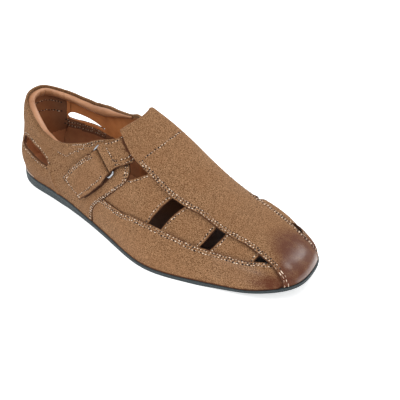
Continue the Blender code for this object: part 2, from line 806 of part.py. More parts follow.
def stacked_rings(name, rings):
    """Closed solid through rings round the shoe, closed across at its bottom and top."""
    count = len(rings[0])
    faces = []
    for level in range(len(rings) - 1):
        for i in range(count):
            j = (i + 1) % count
            a = level * count
            faces.append((a + i, a + j, a + count + j, a + count + i))
    for first in (0, (len(rings) - 1) * count):
        for i in range(SOLE_RUNGS + 1):
            corners = [i, i + 1, (count - i - 1) % count, (count - i) % count]
            faces.append(tuple(first + corner for corner in dict.fromkeys(corners)))
    return mesh_object(name, np.concatenate(rings), faces, parts)


def make_outsole():
    """Rubber sole unit with ribbed side, arch, toe spring and transverse grooves."""

    def top(x):
        return LAST["feather_z"](x) - FIT_GAP

    def level(share):
        return lambda x: LAST["sole_z"](x) + (top(x) - LAST["sole_z"](x)) * share

    side = columns_of(SOLE_SIDE, SOLE_SIDE_COLUMNS)
    rings = [ring_points(inset, level(height)) for height, inset in zip(side["height"], side["inset"])]
    outsole = stacked_rings("outsole", rings)
    combine(outsole, [make_grooves()], "DIFFERENCE")
    outsole.data.materials.append(material("rubber"))


def make_grooves():
    """Cutter for the transverse grooves of the tread, inside a plain border."""
    shape = bmesh.new()
    for start, end in GROOVE_RUNS:
        for x in np.arange(start, end, GROOVE_PITCH):
            low = outline_point(station(x, "lateral"))[1] + GROOVE_BORDER
            high = outline_point(station(x, "medial"))[1] - GROOVE_BORDER
            floor = LAST["sole_z"](x) + GROOVE_DEPTH
            size = (GROOVE_WIDTH * MM, (high - low) * MM, 2 * (floor + GROOVE_DEPTH) * MM)
            middle = to_part([x, 0.5 * (low + high), -GROOVE_DEPTH])
            frame = Matrix.Translation(middle) @ Matrix.Diagonal((*size, 1))
            bmesh.ops.create_cube(shape, size=1, matrix=frame)
    mesh = bpy.data.meshes.new("tread grooves")
    shape.to_mesh(mesh)
    shape.free()
    grooves = bpy.data.objects.new("tread grooves", mesh)
    guides.objects.link(grooves)
    return grooves


def make_insole():
    """Leather footbed that lies on the sole inside the upper."""

    def low(x):
        return LAST["feather_z"](x)

    def high(x):
        return LAST["feather_z"](x) + INSOLE_THICKNESS

    def shoulder(x):
        return high(x) - INSOLE_EDGE

    rings = [ring_points(INSOLE_INSET, low), ring_points(INSOLE_INSET, shoulder)]
    rings.append(ring_points(INSOLE_INSET + INSOLE_EDGE, high))
    insole = stacked_rings("insole", rings)
    insole.data.materials.append(material("footbed"))


for old in list(bpy.data.objects):
    bpy.data.objects.remove(old, do_unlink=True)
parts = bpy.data.collections.new("closed_toe_sandal")
guides = bpy.data.collections.new("guides")
bpy.context.scene.collection.children.link(parts)
bpy.context.scene.collection.children.link(guides)
make_outsole()
make_insole()
make_upper()
make_straps()
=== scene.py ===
"""Looks of the closed-toe sandal: sewn nubuck panels, padded collar, lining, strap, ring and ribbed sole.

Every piece is worked out from the last that the solids come from. Tables are in millimetres of the
last: x runs from the back of the heel to the toe, the lateral side is at -y, z is up. A place on the
last is a station q, the share of the way round the outline from the back of the heel over the lateral
side, and a share t, from 0 at the sole to 1 on the ridge of the foot.
"""
from types import SimpleNamespace

import bmesh
import bpy
import numpy as np
from mathutils import Matrix
from mathutils.kdtree import KDTree


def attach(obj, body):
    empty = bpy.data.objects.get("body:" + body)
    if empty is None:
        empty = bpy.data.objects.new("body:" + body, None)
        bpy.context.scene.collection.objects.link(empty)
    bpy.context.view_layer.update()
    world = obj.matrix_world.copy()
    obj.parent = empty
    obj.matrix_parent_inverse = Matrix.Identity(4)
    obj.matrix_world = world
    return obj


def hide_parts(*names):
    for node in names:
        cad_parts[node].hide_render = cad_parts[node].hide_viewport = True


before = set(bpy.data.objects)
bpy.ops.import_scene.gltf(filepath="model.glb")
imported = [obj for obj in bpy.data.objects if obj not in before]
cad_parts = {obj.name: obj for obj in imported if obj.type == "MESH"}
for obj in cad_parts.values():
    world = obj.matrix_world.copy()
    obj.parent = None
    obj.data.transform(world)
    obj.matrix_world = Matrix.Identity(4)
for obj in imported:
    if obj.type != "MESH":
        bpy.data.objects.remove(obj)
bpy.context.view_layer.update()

MM = 0.001
MIDDLE = np.array([144.1, -2.0, 0.0])

# Outline of the sole and of the upper's lower edge, from the heel's back over the lateral side.
OUTLINE = [
    (-1.4, 1.0), (8.2, -22.1), (45.9, -30.2), (100.0, -38.2), (145.0, -48.4), (185.0, -55.3),
    (219.0, -47.5), (247.5, -38.6), (272.5, -31.0), (291.4, -14.2), (290.1, 7.8), (281.8, 27.2),
    (266.0, 40.7), (230.0, 50.0), (195.0, 48.5), (140.0, 35.0), (100.0, 28.5), (45.0, 33.0), (10.0, 21.0),
]
OUTLINE_SAMPLES = 2400

# Sections of the last: ridge, feather edge, sole, fullness of the curve and swell above the sole.
SECTION_COLUMNS = ("x", "ridge_z", "ridge_y", "feather_z", "sole_z", "fullness", "swell")
SECTIONS = [
    (0, 134.0, 0.0, 12.0, 5.0, 2.31, 3.1),
    (12, 133.5, 0.0, 10.0, 1.5, 2.30, 3.1),
    (30, 132.0, 0.0, 8.5, 0.0, 2.26, 3.1),
    (45, 130.3, 0.0, 8.3, 0.0, 2.21, 3.1),
    (65, 126.0, 0.3, 8.1, 0.0, 2.06, 2.3),
    (80, 121.3, 1.0, 7.7, 1.4, 1.91, 1.5),
    (105, 109.3, 2.3, 6.5, 3.0, 1.80, 1.0),
    (128, 98.8, 5.5, 5.8, 1.7, 1.82, 1.0),
    (150, 86.7, 9.0, 5.2, 0.3, 1.86, 1.0),
    (162, 79.0, 9.3, 4.9, 0.0, 1.87, 1.0),
    (180, 66.8, 8.5, 4.5, 0.0, 1.87, 1.0),
    (210, 48.1, 6.0, 4.6, 0.0, 1.90, 0.9),
    (225, 43.2, 6.2, 5.0, 0.0, 1.98, 0.5),
    (240, 39.5, 6.5, 5.8, 1.1, 2.07, 0.2),
    (260, 35.7, 6.0, 7.9, 3.8, 2.20, 0.3),
    (280, 33.5, 5.0, 11.7, 8.0, 2.34, 0.9),
    (295, 33.0, 5.0, 15.0, 11.5, 2.46, 1.2),
]
HEEL_POLE = 48.0
TOE_POLE = 208.0
SWELL_HEIGHT = 16.0
SWELL_REACH = 13.0
SWELL_START = 5.0

# Soft forms of the worn leather: the lower edge hangs over the sole, and the medial toe side is fuller.
HEM_REACH = 9.0
HEM = [(-2, 0.2), (45, 0.5), (70, 0.6), (110, 1.5), (200, 1.5), (255, 1.8), (285, 0.8), (295, 0.6)]
MEDIAL_FULLNESS = 2.8
MEDIAL_FULL_X = (240.0, 34.0)
MEDIAL_FULL_T = (0.48, 0.2)
MEDIAL_FULL_FACE = (0.2, 0.7)
MEDIAL_FULL_OUT = 0.75
MEDIAL_FULL_UP = 0.65

# Leather pieces as depths below the last's surface: strip over mudguard over panels, and the quarters.
STRIP_DEPTH = (0.0, 1.4)
GUARD_DEPTH = (0.1, 1.4)
GUARD_TUCK = 1.4
GUARD_TUCK_REAR = (-2.0, 2.5)
GUARD_TUCK_TOE = (-3.0, 0.5)
PANEL_DEPTH = (1.5, 2.8)
QUARTER_DEPTH = (0.0, 2.0)
HEEL_LINING = 0.5
HEEL_LINING_TOP = (0.9, 0.98)
COLLAR_TURN = 4.5
COLLAR_ROUND = 0.8
SLOT_BAND = 0.50
CUP_X = (3.0, 15.0)
CUP_TOP = (0.22, 0.36)
HEEL_SEAM_X = (12.5, 13.3)

# Rows of points beside an edge, which is rounded to a radius, and the mesh's usual spacing.
EDGE_ROWS = (0.0, 0.12, 0.3, 0.55, 0.9, 1.4)
EDGE_ROUND = 0.55
SPACING = 1.1

# Centre strip: outline x and share t of its two edges, from the loop's fold to the toe.
STRIP_COLUMNS = ("lateral_x", "lateral_t", "medial_x", "medial_t")
STRIP = [
    (126, 0.620, 126, 0.600),
    (146, 0.560, 147, 0.555),
    (163, 0.575, 164, 0.530),
    (180, 0.590, 181, 0.510),
    (199, 0.635, 199, 0.509),
    (214, 0.662, 212, 0.575),
    (236, 0.629, 231.6, 0.652),
    (256, 0.602, 250.8, 0.614),
    (274, 0.570, 264.4, 0.555),
    (281, 0.478, 273.0, 0.492),
    (284.3, 0.395, 278.2, 0.409),
    (286, 0.225, 280.2, 0.275),
    (286.8, 0.0, 280.8, 0.0),
]
STRIP_LENGTH = 200.0
STRIP_WIDTH = 62.0
FOLD_BOW = 10.0
FOLD_BOW_ROWS = 4.0
TOE_ROUND_FROM = 0.55
LOOP_UNDER = 6.1
LOOP_END_ROW = 2.6
LOOP_LIFT = -1.1
LOOP_LIFT_ROWS = 2.2
LOOP_STEPS = 18
STRIP_SEWN_ROW = 1.32
STRIP_CROSS_ENDS = (0.08, 0.92)

# Mudguard: outline x and share t of its top edge on each side.
GUARD_COLUMNS = ("x", "lateral_t", "medial_t")
GUARD = [
    (96, 0.170, 0.170),
    (127, 0.204, 0.200),
    (149, 0.230, 0.220),
    (171, 0.305, 0.250),
    (190, 0.358, 0.270),
    (207, 0.388, 0.285),
    (226, 0.380, 0.285),
    (249, 0.385, 0.275),
    (262, 0.388, 0.325),
    (275, 0.404, 0.405),
    (287, 0.413, 0.430),
]
GUARD_REAR_X = 98.0
GUARD_TOE_X = {"lateral": 289.3, "medial": 283.0}
GUARD_LENGTH = 200.0
GUARD_HEIGHT = 30.0
THROAT_LINING_X = 150.0
GUARD_TOE_ROWS = 4
GUARD_ROW_ENDS = (0.12, 0.955)

# Cross panels: side, and outline x of the rear and front edges at even steps from foot to top.
PANEL_COLUMNS = ("side", "rear_x", "front_x")
PANELS = [
    ("lateral", (108.0, 118.0, 130.0, 150.0, 160.0, 166.5), (177.5, 188.8)),
    ("lateral", (189.0, 198.4), (221.4, 239.5)),
    ("lateral", (229.0, 253.2), (268.0, 277.8, 283.0)),
    ("medial", (108.0, 118.0, 130.0, 148.0, 158.0, 165.0), (176.5, 184.5)),
    ("medial", (186.5, 193.5), (209.0, 220.0)),
    ("medial", (217.5, 232.5), (260.0, 273.0)),
]
PANEL_FOOT_UNDER = 0.07
PANEL_TOP_UNDER = 0.06
PANEL_SIZE = 45.0
PANEL_PUFF = {"lateral": 0.5, "medial": 1.2}
PANEL_PUFF_RISE = (0.17, 0.45)
PANEL_PUFF_FALL = (0.58, 0.86)
PANEL_TOE_ROWS = 2
PANEL_ROWS = (("u0", 2.4), ("u1", 2.7))
PANEL_ROW_ENDS = (0.2, 0.8)

# Quarters: collar line round the heel and front edge of both sides.
COLLAR_COLUMNS = ("x", "lateral_t", "medial_t")
COLLAR = [
    (-1.4, 0.332, 0.332),
    (8, 0.318, 0.307),
    (20, 0.291, 0.292),
    (31, 0.260, 0.284),
    (41, 0.237, 0.284),
    (53, 0.235, 0.303),
    (62, 0.251, 0.329),
    (70, 0.276, 0.352),
    (85, 0.341, 0.402),
    (96, 0.396, 0.450),
    (106, 0.459, 0.510),
    (116, 0.514, 0.555),
    (128, 0.600, 0.595),
]
FRONT_EDGE_COLUMNS = ("t", "x")
FRONT_EDGE = [
    (0.0, 110.2),
    (0.066, 111.4),
    (0.120, 115.2),
    (0.162, 119.9),
    (0.208, 125.9),
    (0.293, 136.4),
    (0.350, 142.0),
    (0.390, 145.6),
    (0.435, 147.9),
    (0.475, 146.9),
    (0.520, 141.4),
    (0.560, 134.5),
    (0.600, 126.0),
]
QUARTERS_LENGTH = 330.0
QUARTERS_HEIGHT = 72.0
FRONT_ROW_ENDS = (0.05, 0.86)

# Rear slots: outline x, lower and upper share t, and the rows of the quarters' grid that they lie between.
SLOT_COLUMNS = ("x", "lower_t", "upper_t")
SLOTS = {
    "lateral": [
        (13.0, 0.122, 0.140),
        (14.5, 0.112, 0.153),
        (19.0, 0.108, 0.156),
        (27.0, 0.106, 0.151),
        (38.0, 0.098, 0.138),
        (46.0, 0.097, 0.126),
        (50.0, 0.100, 0.110),
    ],
    "medial": [
        (13.0, 0.163, 0.172),
        (14.5, 0.154, 0.182),
        (19.0, 0.150, 0.187),
        (27.0, 0.153, 0.183),
        (38.0, 0.156, 0.174),
        (45.0, 0.157, 0.167),
        (49.0, 0.158, 0.161),
    ],
}
SLOT_ROWS = (0.42, 0.58)
SLOT_LEVEL = 0.45
SLOT_LEAST = 0.035
SLOT_FAR = {"lower_t": 0.36, "upper_t": 0.52}
SLOT_STITCH_GAP = 0.04
SLOT_STITCH_REACH = (0.004, 0.012)
LINING_ROWS = (0.37, 0.33)
HEEL_ROWS = (0.69, 0.51)
HEEL_ROWS_REACH = 0.03

# Seam under the padded collar, on both sides, and the soft ridge at the front of the heel counter.
COLLAR_SEAM_COLUMNS = ("x", "t")
COLLAR_SEAM = [
    (55.4, 0.193),
    (66.9, 0.208),
    (73.7, 0.228),
    (81.7, 0.278),
    (91.9, 0.344),
    (101.8, 0.409),
    (111.4, 0.479),
]
COLLAR_ROW_X = (113.0, 80.0)
COLLAR_SEAM_FADE = (-6.0, 3.0)
COLLAR_SEAM_END_X = (108.0, 116.0)
COLLAR_SEAM_CUT = 4.0
COLLAR_SEAM_DEPTH = 0.6
COLLAR_SEAM_WIDTH = 0.007
COLLAR_PUFF = 0.7
COLLAR_PUFF_RISE = 0.035
COLLAR_PUFF_TOP = (0.88, 1.0)
COLLAR_PUFF_END_X = (96.0, 112.0)
COUNTER_RIDGE = 0.85
COUNTER_RIDGE_X = (60.0, 54.3)
COUNTER_RIDGE_TOP = 0.12
COUNTER_RIDGE_WIDTH = 2.6
COUNTER_RIDGE_FADE = (-0.03, 0.02)

# Padded roll inside the collar: half width, half height, and the x where each side thins out.
ROLL_HALF_WIDTH = {"lateral": 3.15, "medial": 3.6}
ROLL_HALF_HEIGHT = {"lateral": 4.6, "medial": 5.3}
ROLL_THIN_X = {"lateral": (22.0, 64.0), "medial": (48.0, 99.0)}
ROLL_THIN = {"lateral": 0.42, "medial": 0.22}
ROLL_TAIL_X = (84.0, 104.0)
ROLL_TAIL = 0.5
ROLL_DROP = 1.6
ROLL_SIDES = 28
ROLL_WRINKLES = 0.3
ROLL_WRINKLE_LENGTHS = (0.95, 7.0)
ROLL_WRINKLE_SWAY = 1.6
ROLL_WRINKLE_X = (4.0, 18.0)
ROLL_MEDIAL_X = (0.0, 25.0)
ROLL_WALL_GAP = 0.15
ROLL_TOP_GAP = 0.1
ROLL_SLOPE_ROWS = 8

# Pale lip at the back of the heel: outline x of its ends, its size, and its place beside the lower edge.
LIP_X = (26.0, 26.0)
LIP_RADIUS = 0.85
LIP_RISE = 1.7
LIP_OUT = 0.1
# Painted shade beside the lower edge, wider under the lip and fading out towards the lip's end.
LIP_SHADE = 2.6
LIP_SHADE_FADE = 8.0
LIP_STEPS = 90
LIP_SIDES = 12
LIP_END_SIZE = 0.02
# Width of the painted shade along the lower edge elsewhere.
HEM_SHADE = 0.5

# The quarters dip under the instep strap, which itself dips under the strip.
SINK = 4.6
SINK_T = (0.42, 0.55)
SINK_X = (100.0, 122.0)

# Instep strap in plan, and closure strap as places on the last: rear and front edges.
STRAP = [
    (92.0, 25.6, 110.5, 27.8),
    (103.0, 23.9, 122.0, 27.9),
    (117.0, 22.2, 135.0, 27.8),
    (130.6, 19.6, 147.0, 26.6),
    (136.4, 12.0, 150.5, 18.0),
    (139.6, 3.0, 153.5, 6.0),
    (137.2, -10.0, 151.0, -14.0),
    (129.8, -19.9, 147.0, -25.6),
    (121.8, -25.8, 142.2, -31.0),
    (115.8, -28.8, 135.3, -33.8),
]
CLOSURE = [
    (109.3, 0.412, 129.8, 0.333),
    (101.5, 0.350, 123.2, 0.268),
    (92.3, 0.277, 115.0, 0.203),
    (83.0, 0.200, 106.5, 0.147),
    (75.5, 0.133, 101.0, 0.113),
]

# Both straps: gaps and leather, the painted shade beside and under them, their rows of stitches, and the
# hook tape, whose near-black side also paints the shade in the gap under the tab.
STRAP_GAP = 0.5
SHADOW_REACH = 0.045
UNDER_EDGE = 1.7
HIDDEN_BEHIND = 1.7
SHADOW_EDGE = 0.85
TAB_ROW = 4.2
BOX_ROW = 5.6
STRAP_LEATHER = 1.5
STRAP_LENGTH = 118.0
TAB_LENGTH = 48.0
TAB_GAP = 2.3
TAB_LIFT = 0.7
BAND_WIDTH = 24.0
SHADE_INSIDE = 2.0
SHADE_BEHIND = 1.0
SHADE_STRAP_ROWS = 4
SHADE_LOOP_ROWS = 7
STRAP_CLEAR = 0.5
STRAP_LEVEL = (13.0, 19.0)
STRAP_RISE = (0.0, 11.0)
STRAP_UNDER = (12.0, 0.97)
STRAP_SHOWN = (52.0, 5.5)
STRAP_SEWN_ENDS = (0.015, 0.42)
STRAP_CROSS_TRIM = 8
END_ROW_ENDS = (0.1, 0.9)
TAB_RISE = (0.0, 9.0)
TAB_UNDER = (40.0, 0.84)
TAB_LIFT_REACH = (5.0, 16.0)
TAB_ROW_START = 0.06
TAB_ROW_STOP = 5.0
# The hook tape reaches almost to the tab's lower edge, so its near-black side paints the shade in the gap
# there.
HOOK_ALONG = (0.2, 0.955, 40)
HOOK_ACROSS = (0.1, 0.972, 26)
HOOK_GAP = 0.05
HOOK_FOOT = 1.65
HOOK_ROUND = 0.2

# Ring of round wire that both straps are folded round.
RING_HALF_LENGTH = 13.4
RING_HALF_WIDTH = 3.1
RING_CORNER = 1.6
RING_WIRE = 0.9
RING_CORNER_STEPS = 8
RING_SIDES = 14
FIT_GAP = 0.3
FOLD_LEATHER = 1.3
BAR_RISE = RING_WIRE + FIT_GAP + FOLD_LEATHER + FIT_GAP
FOLD_STEPS = 14
BAR_REACH = (1.0, 11.0)
RING_END_STEP = 0.004
RING_FACES = (0.0, -1.0, 0.5)

# Sole unit: height share and inset of the rows of its side below the leather, with fine ribs, and the tread.
SOLE_SIDE = [
    (0.0, 0.9), (0.02, 0.45), (0.05, 0.1), (0.09, -0.25), (0.14, -0.5), (0.20, -0.6), (0.27, -0.6),
    (0.30, -0.25), (0.33, -0.1), (0.36, -0.25), (0.39, -0.65), (0.48, -0.7), (0.51, -0.35), (0.54, -0.2),
    (0.57, -0.35), (0.60, -0.75), (0.69, -0.8), (0.72, -0.45), (0.75, -0.3), (0.78, -0.45), (0.81, -0.85),
    (0.90, -0.9), (0.96, -0.75), (1.0, -0.3), (1.0, 2.6),
]
SOLE_TOP_INSET = 2.6
SOLE_TOP_GAP = 0.25
SOLE_TOP_UNDER = 0.1
LATERAL_ARCH = 0.3
LATERAL_ARCH_Y = (5.0, 32.0)
WAIST_X = ((62.0, 85.0), (150.0, 172.0))
SOLE_RUNGS = 170
SOLE_ACROSS = 28
GROOVE_DEPTH = 1.2
GROOVE_WIDTH = 3.0
GROOVE_WALL = 0.25
GROOVE_PITCH = 9.5
GROOVE_BORDER = 9.0
GROOVE_RAMP = 1.5
GROOVE_RUNS = [(22.0, 72.0), (152.0, 246.0)]

# Footbed inside the upper.
FOOTBED_INSET = 2.6
FOOTBED_HEIGHT = (0.2, 3.2)
FOOTBED_CUP = 2.6
FOOTBED_CUP_X = (60.0, 150.0)
FOOTBED_WIDTH = 70.0
FOOTBED_END_RUNGS = 3
FOOTBED_ROUND = 0.8
FOOTBED_SEAM = 5.5

# Sewing thread: stitch pitch, length, width and height, needle holes and distances of rows from an edge.
PITCH = 2.55
STITCH = (1.35, 0.66, 0.5)
LONG_STITCH = (3.0, 0.62, 0.45)
LONG_PITCH = 3.7
# Needle holes are flat dark beads whose near-black tone paints the shade inside the holes.
NEEDLE_HOLE = (1.36, 1.22, 0.5)
STITCH_DISORDER = 0.28
STITCH_SIZES = (0.6, 1.25)
TOE_SEAM = 0.86
TOE_SEAM_BREAK = 0.01
DOUBLE_ROW = (1.9, 3.9)
SINGLE_ROW = (1.9,)
GROOVE_OF_STITCHES = 0.16
GROOVE_OF_STITCHES_WIDTH = 0.55
STITCH_TURN = 0.12
STITCH_LIFT = 0.02
STITCH_SIDES = (8, 5)
STITCH_WAY_REACH = 0.5
PLACE_SEED = 11

# Nubuck: colours, scales and shares of its nap, rubbed edges whose dark tone also paints shade, and polish,
# and the rear darkened with painted shade, x in metres.
NUBUCK_LIGHT = (0.350, 0.194, 0.098, 1)
NUBUCK_DARK = (0.100, 0.045, 0.018, 1)
NUBUCK_CLOUD = (0.205, 0.092, 0.038, 1)
NUBUCK_EDGE_AND_SHADE = (0.048, 0.013, 0.005, 1)
NUBUCK_POLISH = (0.080, 0.015, 0.0045, 1)
NUBUCK_SHEEN = (0.9, 0.7, 0.5, 1)
NAP_SCALES = {"Grain Scale": 1650.0, "Cloud Scale": 45.0}
FIBRE_SCALE = 2400.0
CLOUD_SHARE = 0.3
EDGE_AND_SHADE_SHARE = 0.9
POLISH_SHARE = 0.95
POLISH_GRAIN = 0.35
# Painted shade: the nubuck is multiplied darker towards the heel, where less light falls.
REAR_PAINTED_SHADE = 0.36
REAR_SHADE_TONE = (0.44, 0.375, 0.31, 1)
REAR_X = (-0.12, 0.02)

# Dark polish of the nubuck over the toe, low on the mudguard's front, and along the medial front.
TOE_POLISH_MIDDLE = (292.0, 10.0)
TOE_POLISH_STRETCH = (1.3, 0.5)
TOE_POLISH_STRETCH_X = (272.0, 286.0)
TOE_POLISH_REACH = (24.0, 43.0)
TOE_POLISH_Y = (-27.0, -14.0)
GUARD_POLISH = 1.2
GUARD_POLISH_X = (280.0, 12.0)
GUARD_POLISH_Z = (15.5, 5.5)
GUARD_POLISH_Y = (-22.0, -12.0)
MEDIAL_POLISH = 0.75
MEDIAL_POLISH_X = (205.0, 250.0)
MEDIAL_POLISH_Y = (22.0, 36.0)
MEDIAL_POLISH_Z = (18.0, 27.0)

# Wax shine: start and end of each streak, its width and its share.
GLOSS = [
    ((286.5, -14.0, 22.5), (281.0, 12.0, 24.0), 6.4, 0.6),
    ((240.0, -41.0, 20.0), (268.0, -31.0, 20.0), 7.0, 0.3),
    ((292.0, -9.0, 15.5), (284.5, 19.0, 16.5), 4.0, 1.0),
]

# Smooth leathers: name, dark and light tone, roughness, pores to the metre, and the x in metres where a deep
# shade starts and is full, with its share.
LEATHERS = [
    ("lining_leather", (0.41, 0.145, 0.043, 1), (0.53, 0.20, 0.066, 1), 0.5, 900.0, ((-0.07, -0.02, 0.6),)),
    ("heel_suede", (0.30, 0.110, 0.040, 1), (0.42, 0.167, 0.065, 1), 0.8, 1500.0,
     ((-0.1435, -0.131, 0.62),)),
    ("vamp_lining", (0.090, 0.038, 0.018, 1), (0.155, 0.068, 0.032, 1), 0.7, 900.0, ()),
    ("roll_leather", (0.33, 0.145, 0.066, 1), (0.43, 0.204, 0.098, 1), 0.42, 900.0, ()),
    ("footbed_leather", (0.50, 0.190, 0.080, 1), (0.64, 0.270, 0.12, 1), 0.45, 700.0,
     ((-0.1435, -0.131, 0.50), (-0.05, 0.0, 0.78))),
    ("edge_cord", (0.26, 0.185, 0.14, 1), (0.42, 0.315, 0.25, 1), 0.6, 900.0, ()),
]
DEEP_SHADE = (0.02, 0.008, 0.004, 1)

# Two tones each of the other finishes.
RUBBER_TONES = ((0.028, 0.039, 0.043, 1), (0.050, 0.066, 0.072, 1))
RUBBER_DUST = (0.13, 0.15, 0.155, 1)
THREAD_TONES = ((0.32, 0.20, 0.125, 1), (0.92, 0.74, 0.57, 1))
NEEDLE_HOLE_SHADE_TONES = ((0.004, 0.002, 0.002, 1), (0.018, 0.008, 0.005, 1))
WIRE_TONES = ((0.27, 0.29, 0.32, 1), (0.48, 0.50, 0.53, 1))
HOOK_AND_SHADE_TONES = ((0.016, 0.009, 0.006, 1), (0.004, 0.003, 0.002, 1))
FLOOR_TONES = ((0.93, 0.93, 0.93, 1), (0.95, 0.95, 0.95, 1))
WHITE = (1, 1, 1, 1)

# Camera: degrees, metres and pixels of a square image, with the pixel that a place on the sole falls on.
CAMERA_AZIMUTH = 42.07
CAMERA_ELEVATION = 29.5
CAMERA_DISTANCE = 0.8
FOCAL_PIXELS = 1003.04
IMAGE_PIXELS = 400
TARGET = (143.0, -8.0, 0.0)
TARGET_PIXEL = (149.91, 225.73)
SENSOR = 36.0

# Studio: light from all round, floor, and the soft lights by name, place, size and power.
WORLD_STRENGTH = 0.87
FLOOR_GLOW = 0.6
FLOOR_SIZE = 40.0
LIGHT_TARGET = (0, 0, 0.03)
LIGHTS = [
    ("front softbox", (0.1, -0.85, 0.95), (0.8, 0.6), 5.0),
    ("back softbox", (0.06, 0.74, 0.78), (0.28, 0.75), 3.2),
    ("top softbox", (0.24, 0.40, 0.98), (0.30, 0.26), 1.7),
]


def smooth_curve(xs, ys):
    """Monotone cubic curve through a table's column."""
    xs = np.array(xs, float)
    ys = np.array(ys, float)
    step = np.diff(xs)
    slope = np.diff(ys) / step
    tangent = np.zeros_like(ys)
    tangent[0] = slope[0]
    tangent[-1] = slope[-1]
    for i in range(1, len(xs) - 1):
        if slope[i - 1] * slope[i] > 0:
            before = 2 * step[i] + step[i - 1]
            after = step[i] + 2 * step[i - 1]
            tangent[i] = (before + after) / (before / slope[i - 1] + after / slope[i])

    def value(x):
        x = np.clip(x, xs[0], xs[-1])
        i = np.clip(np.searchsorted(xs, x) - 1, 0, len(xs) - 2)
        s = (x - xs[i]) / step[i]
        rise = ys[i + 1] - ys[i]
        bend = (1 - s) * (tangent[i] * step[i] - rise) - s * (tangent[i + 1] * step[i] - rise)
        return ys[i] + s * rise + s * (1 - s) * bend

    return value


def columns_of(table, names):
    """A table's columns by name."""
    return {name: [row[i] for row in table] for i, name in enumerate(names)}


def smooth_step(value, start, end):
    """Share from 0 to 1 that rises softly between two values."""
    s = np.clip((value - start) / (end - start), 0, 1)
    return s * s * (3 - 2 * s)


def bell(value, middle, width):
    """Share that is 1 at a middle and falls off softly on both sides."""
    return np.exp(-((value - middle) / width) ** 2)


def unit(vectors):
    """Vectors brought to a length of 1."""
    return vectors / np.maximum(np.linalg.norm(vectors, axis=-1, keepdims=True), 1e-12)


def circle(count):
    """Angles of evenly spaced points round a circle."""
    return np.linspace(0, 2 * np.pi, count, endpoint=False)


def lengths_along(points):
    """Length from the first of a row of points to each of them."""
    return np.concatenate([[0], np.cumsum(np.linalg.norm(np.diff(points, axis=0), axis=1))])


def between(at, along, rows):
    """Rows of numbers interpolated at places along them."""
    return np.stack([np.interp(at, along, column) for column in rows.T], axis=-1)


def closed_outline(points):
    """Points of a periodic cubic spline through the given ones, with even spacing along its length."""
    points = np.array(points, float)
    count = len(points)
    chord = np.linalg.norm(np.roll(points, -1, axis=0) - points, axis=1)
    span = np.sqrt(chord)
    matrix = np.zeros((count, count))
    right = np.zeros_like(points)
    for i in range(count):
        before = span[i - 1]
        after = span[i]
        following = (i + 1) % count
        matrix[i, i - 1] += before
        matrix[i, i] += 2 * (before + after)
        matrix[i, following] += after
        right[i] = 6 * ((points[following] - points[i]) / after - (points[i] - points[i - 1]) / before)
    bend = np.linalg.solve(matrix, right)
    places = np.linspace(0, count, OUTLINE_SAMPLES * 2, endpoint=False)
    i = places.astype(int)
    s = ((places - i) * span[i])[:, None]
    h = span[i][:, None]
    j = (i + 1) % count
    curve = (bend[i] * (h - s) ** 3 + bend[j] * s ** 3) / (6 * h)
    curve += (points[i] / h - bend[i] * h / 6) * (h - s) + (points[j] / h - bend[j] * h / 6) * s
    closed = np.vstack([curve, curve[:1]])
    along = lengths_along(closed)
    return between(np.linspace(0, along[-1], OUTLINE_SAMPLES + 1), along, closed)


OUTLINE_CURVE = closed_outline(OUTLINE)
OUTLINE_SHARE = np.linspace(0, 1, len(OUTLINE_CURVE))
TOE_SAMPLE = int(np.argmax(OUTLINE_CURVE[:, 0]))
HEEL_SAMPLE = int(np.argmin(OUTLINE_CURVE[:TOE_SAMPLE, 0]))
SECTION = columns_of(SECTIONS, SECTION_COLUMNS)
LAST = {name: smooth_curve(SECTION["x"], SECTION[name]) for name in SECTION_COLUMNS[1:]}
HEM_DROP = smooth_curve(*zip(*HEM))
STRIP_EDGES = columns_of(STRIP, STRIP_COLUMNS)
GUARD_TOPS = columns_of(GUARD, GUARD_COLUMNS)
COLLAR_LINES = columns_of(COLLAR, COLLAR_COLUMNS)
FRONT_LINE = columns_of(FRONT_EDGE, FRONT_EDGE_COLUMNS)
FRONT_X = smooth_curve(FRONT_LINE["t"], FRONT_LINE["x"])
SEAM_LINE = columns_of(COLLAR_SEAM, COLLAR_SEAM_COLUMNS)
SEAM_T = smooth_curve(SEAM_LINE["x"], SEAM_LINE["t"])


def outline_point(q):
    """Outline x and y at a station."""
    return between(np.mod(q, 1.0), OUTLINE_SHARE, OUTLINE_CURVE)


def station(x, side):
    """Station of an outline x on one side. Medial stations are negative, so they run on past the heel."""
    if side == "lateral":
        part = slice(HEEL_SAMPLE, TOE_SAMPLE + 1)
        return np.interp(x, OUTLINE_CURVE[part, 0], OUTLINE_SHARE[part])
    curve = OUTLINE_CURVE[TOE_SAMPLE:][::-1]
    share = OUTLINE_SHARE[TOE_SAMPLE:][::-1] - 1
    return np.interp(x, curve[:, 0], share)


def spine(x):
    """Middle of the fan of sections that an outline point belongs to."""
    x = np.clip(x, HEEL_POLE, TOE_POLE)
    return np.stack([x, LAST["ridge_y"](x)], axis=-1)


def plan_of(q, t):
    """Plan x and y of a place, before the swell."""
    edge = outline_point(q)
    middle = spine(edge[..., 0])
    share = np.cos(np.clip(t, 0, 1) * np.pi / 2) ** (2 / LAST["fullness"](edge[..., 0]))
    return middle + (edge - middle) * share[..., None]


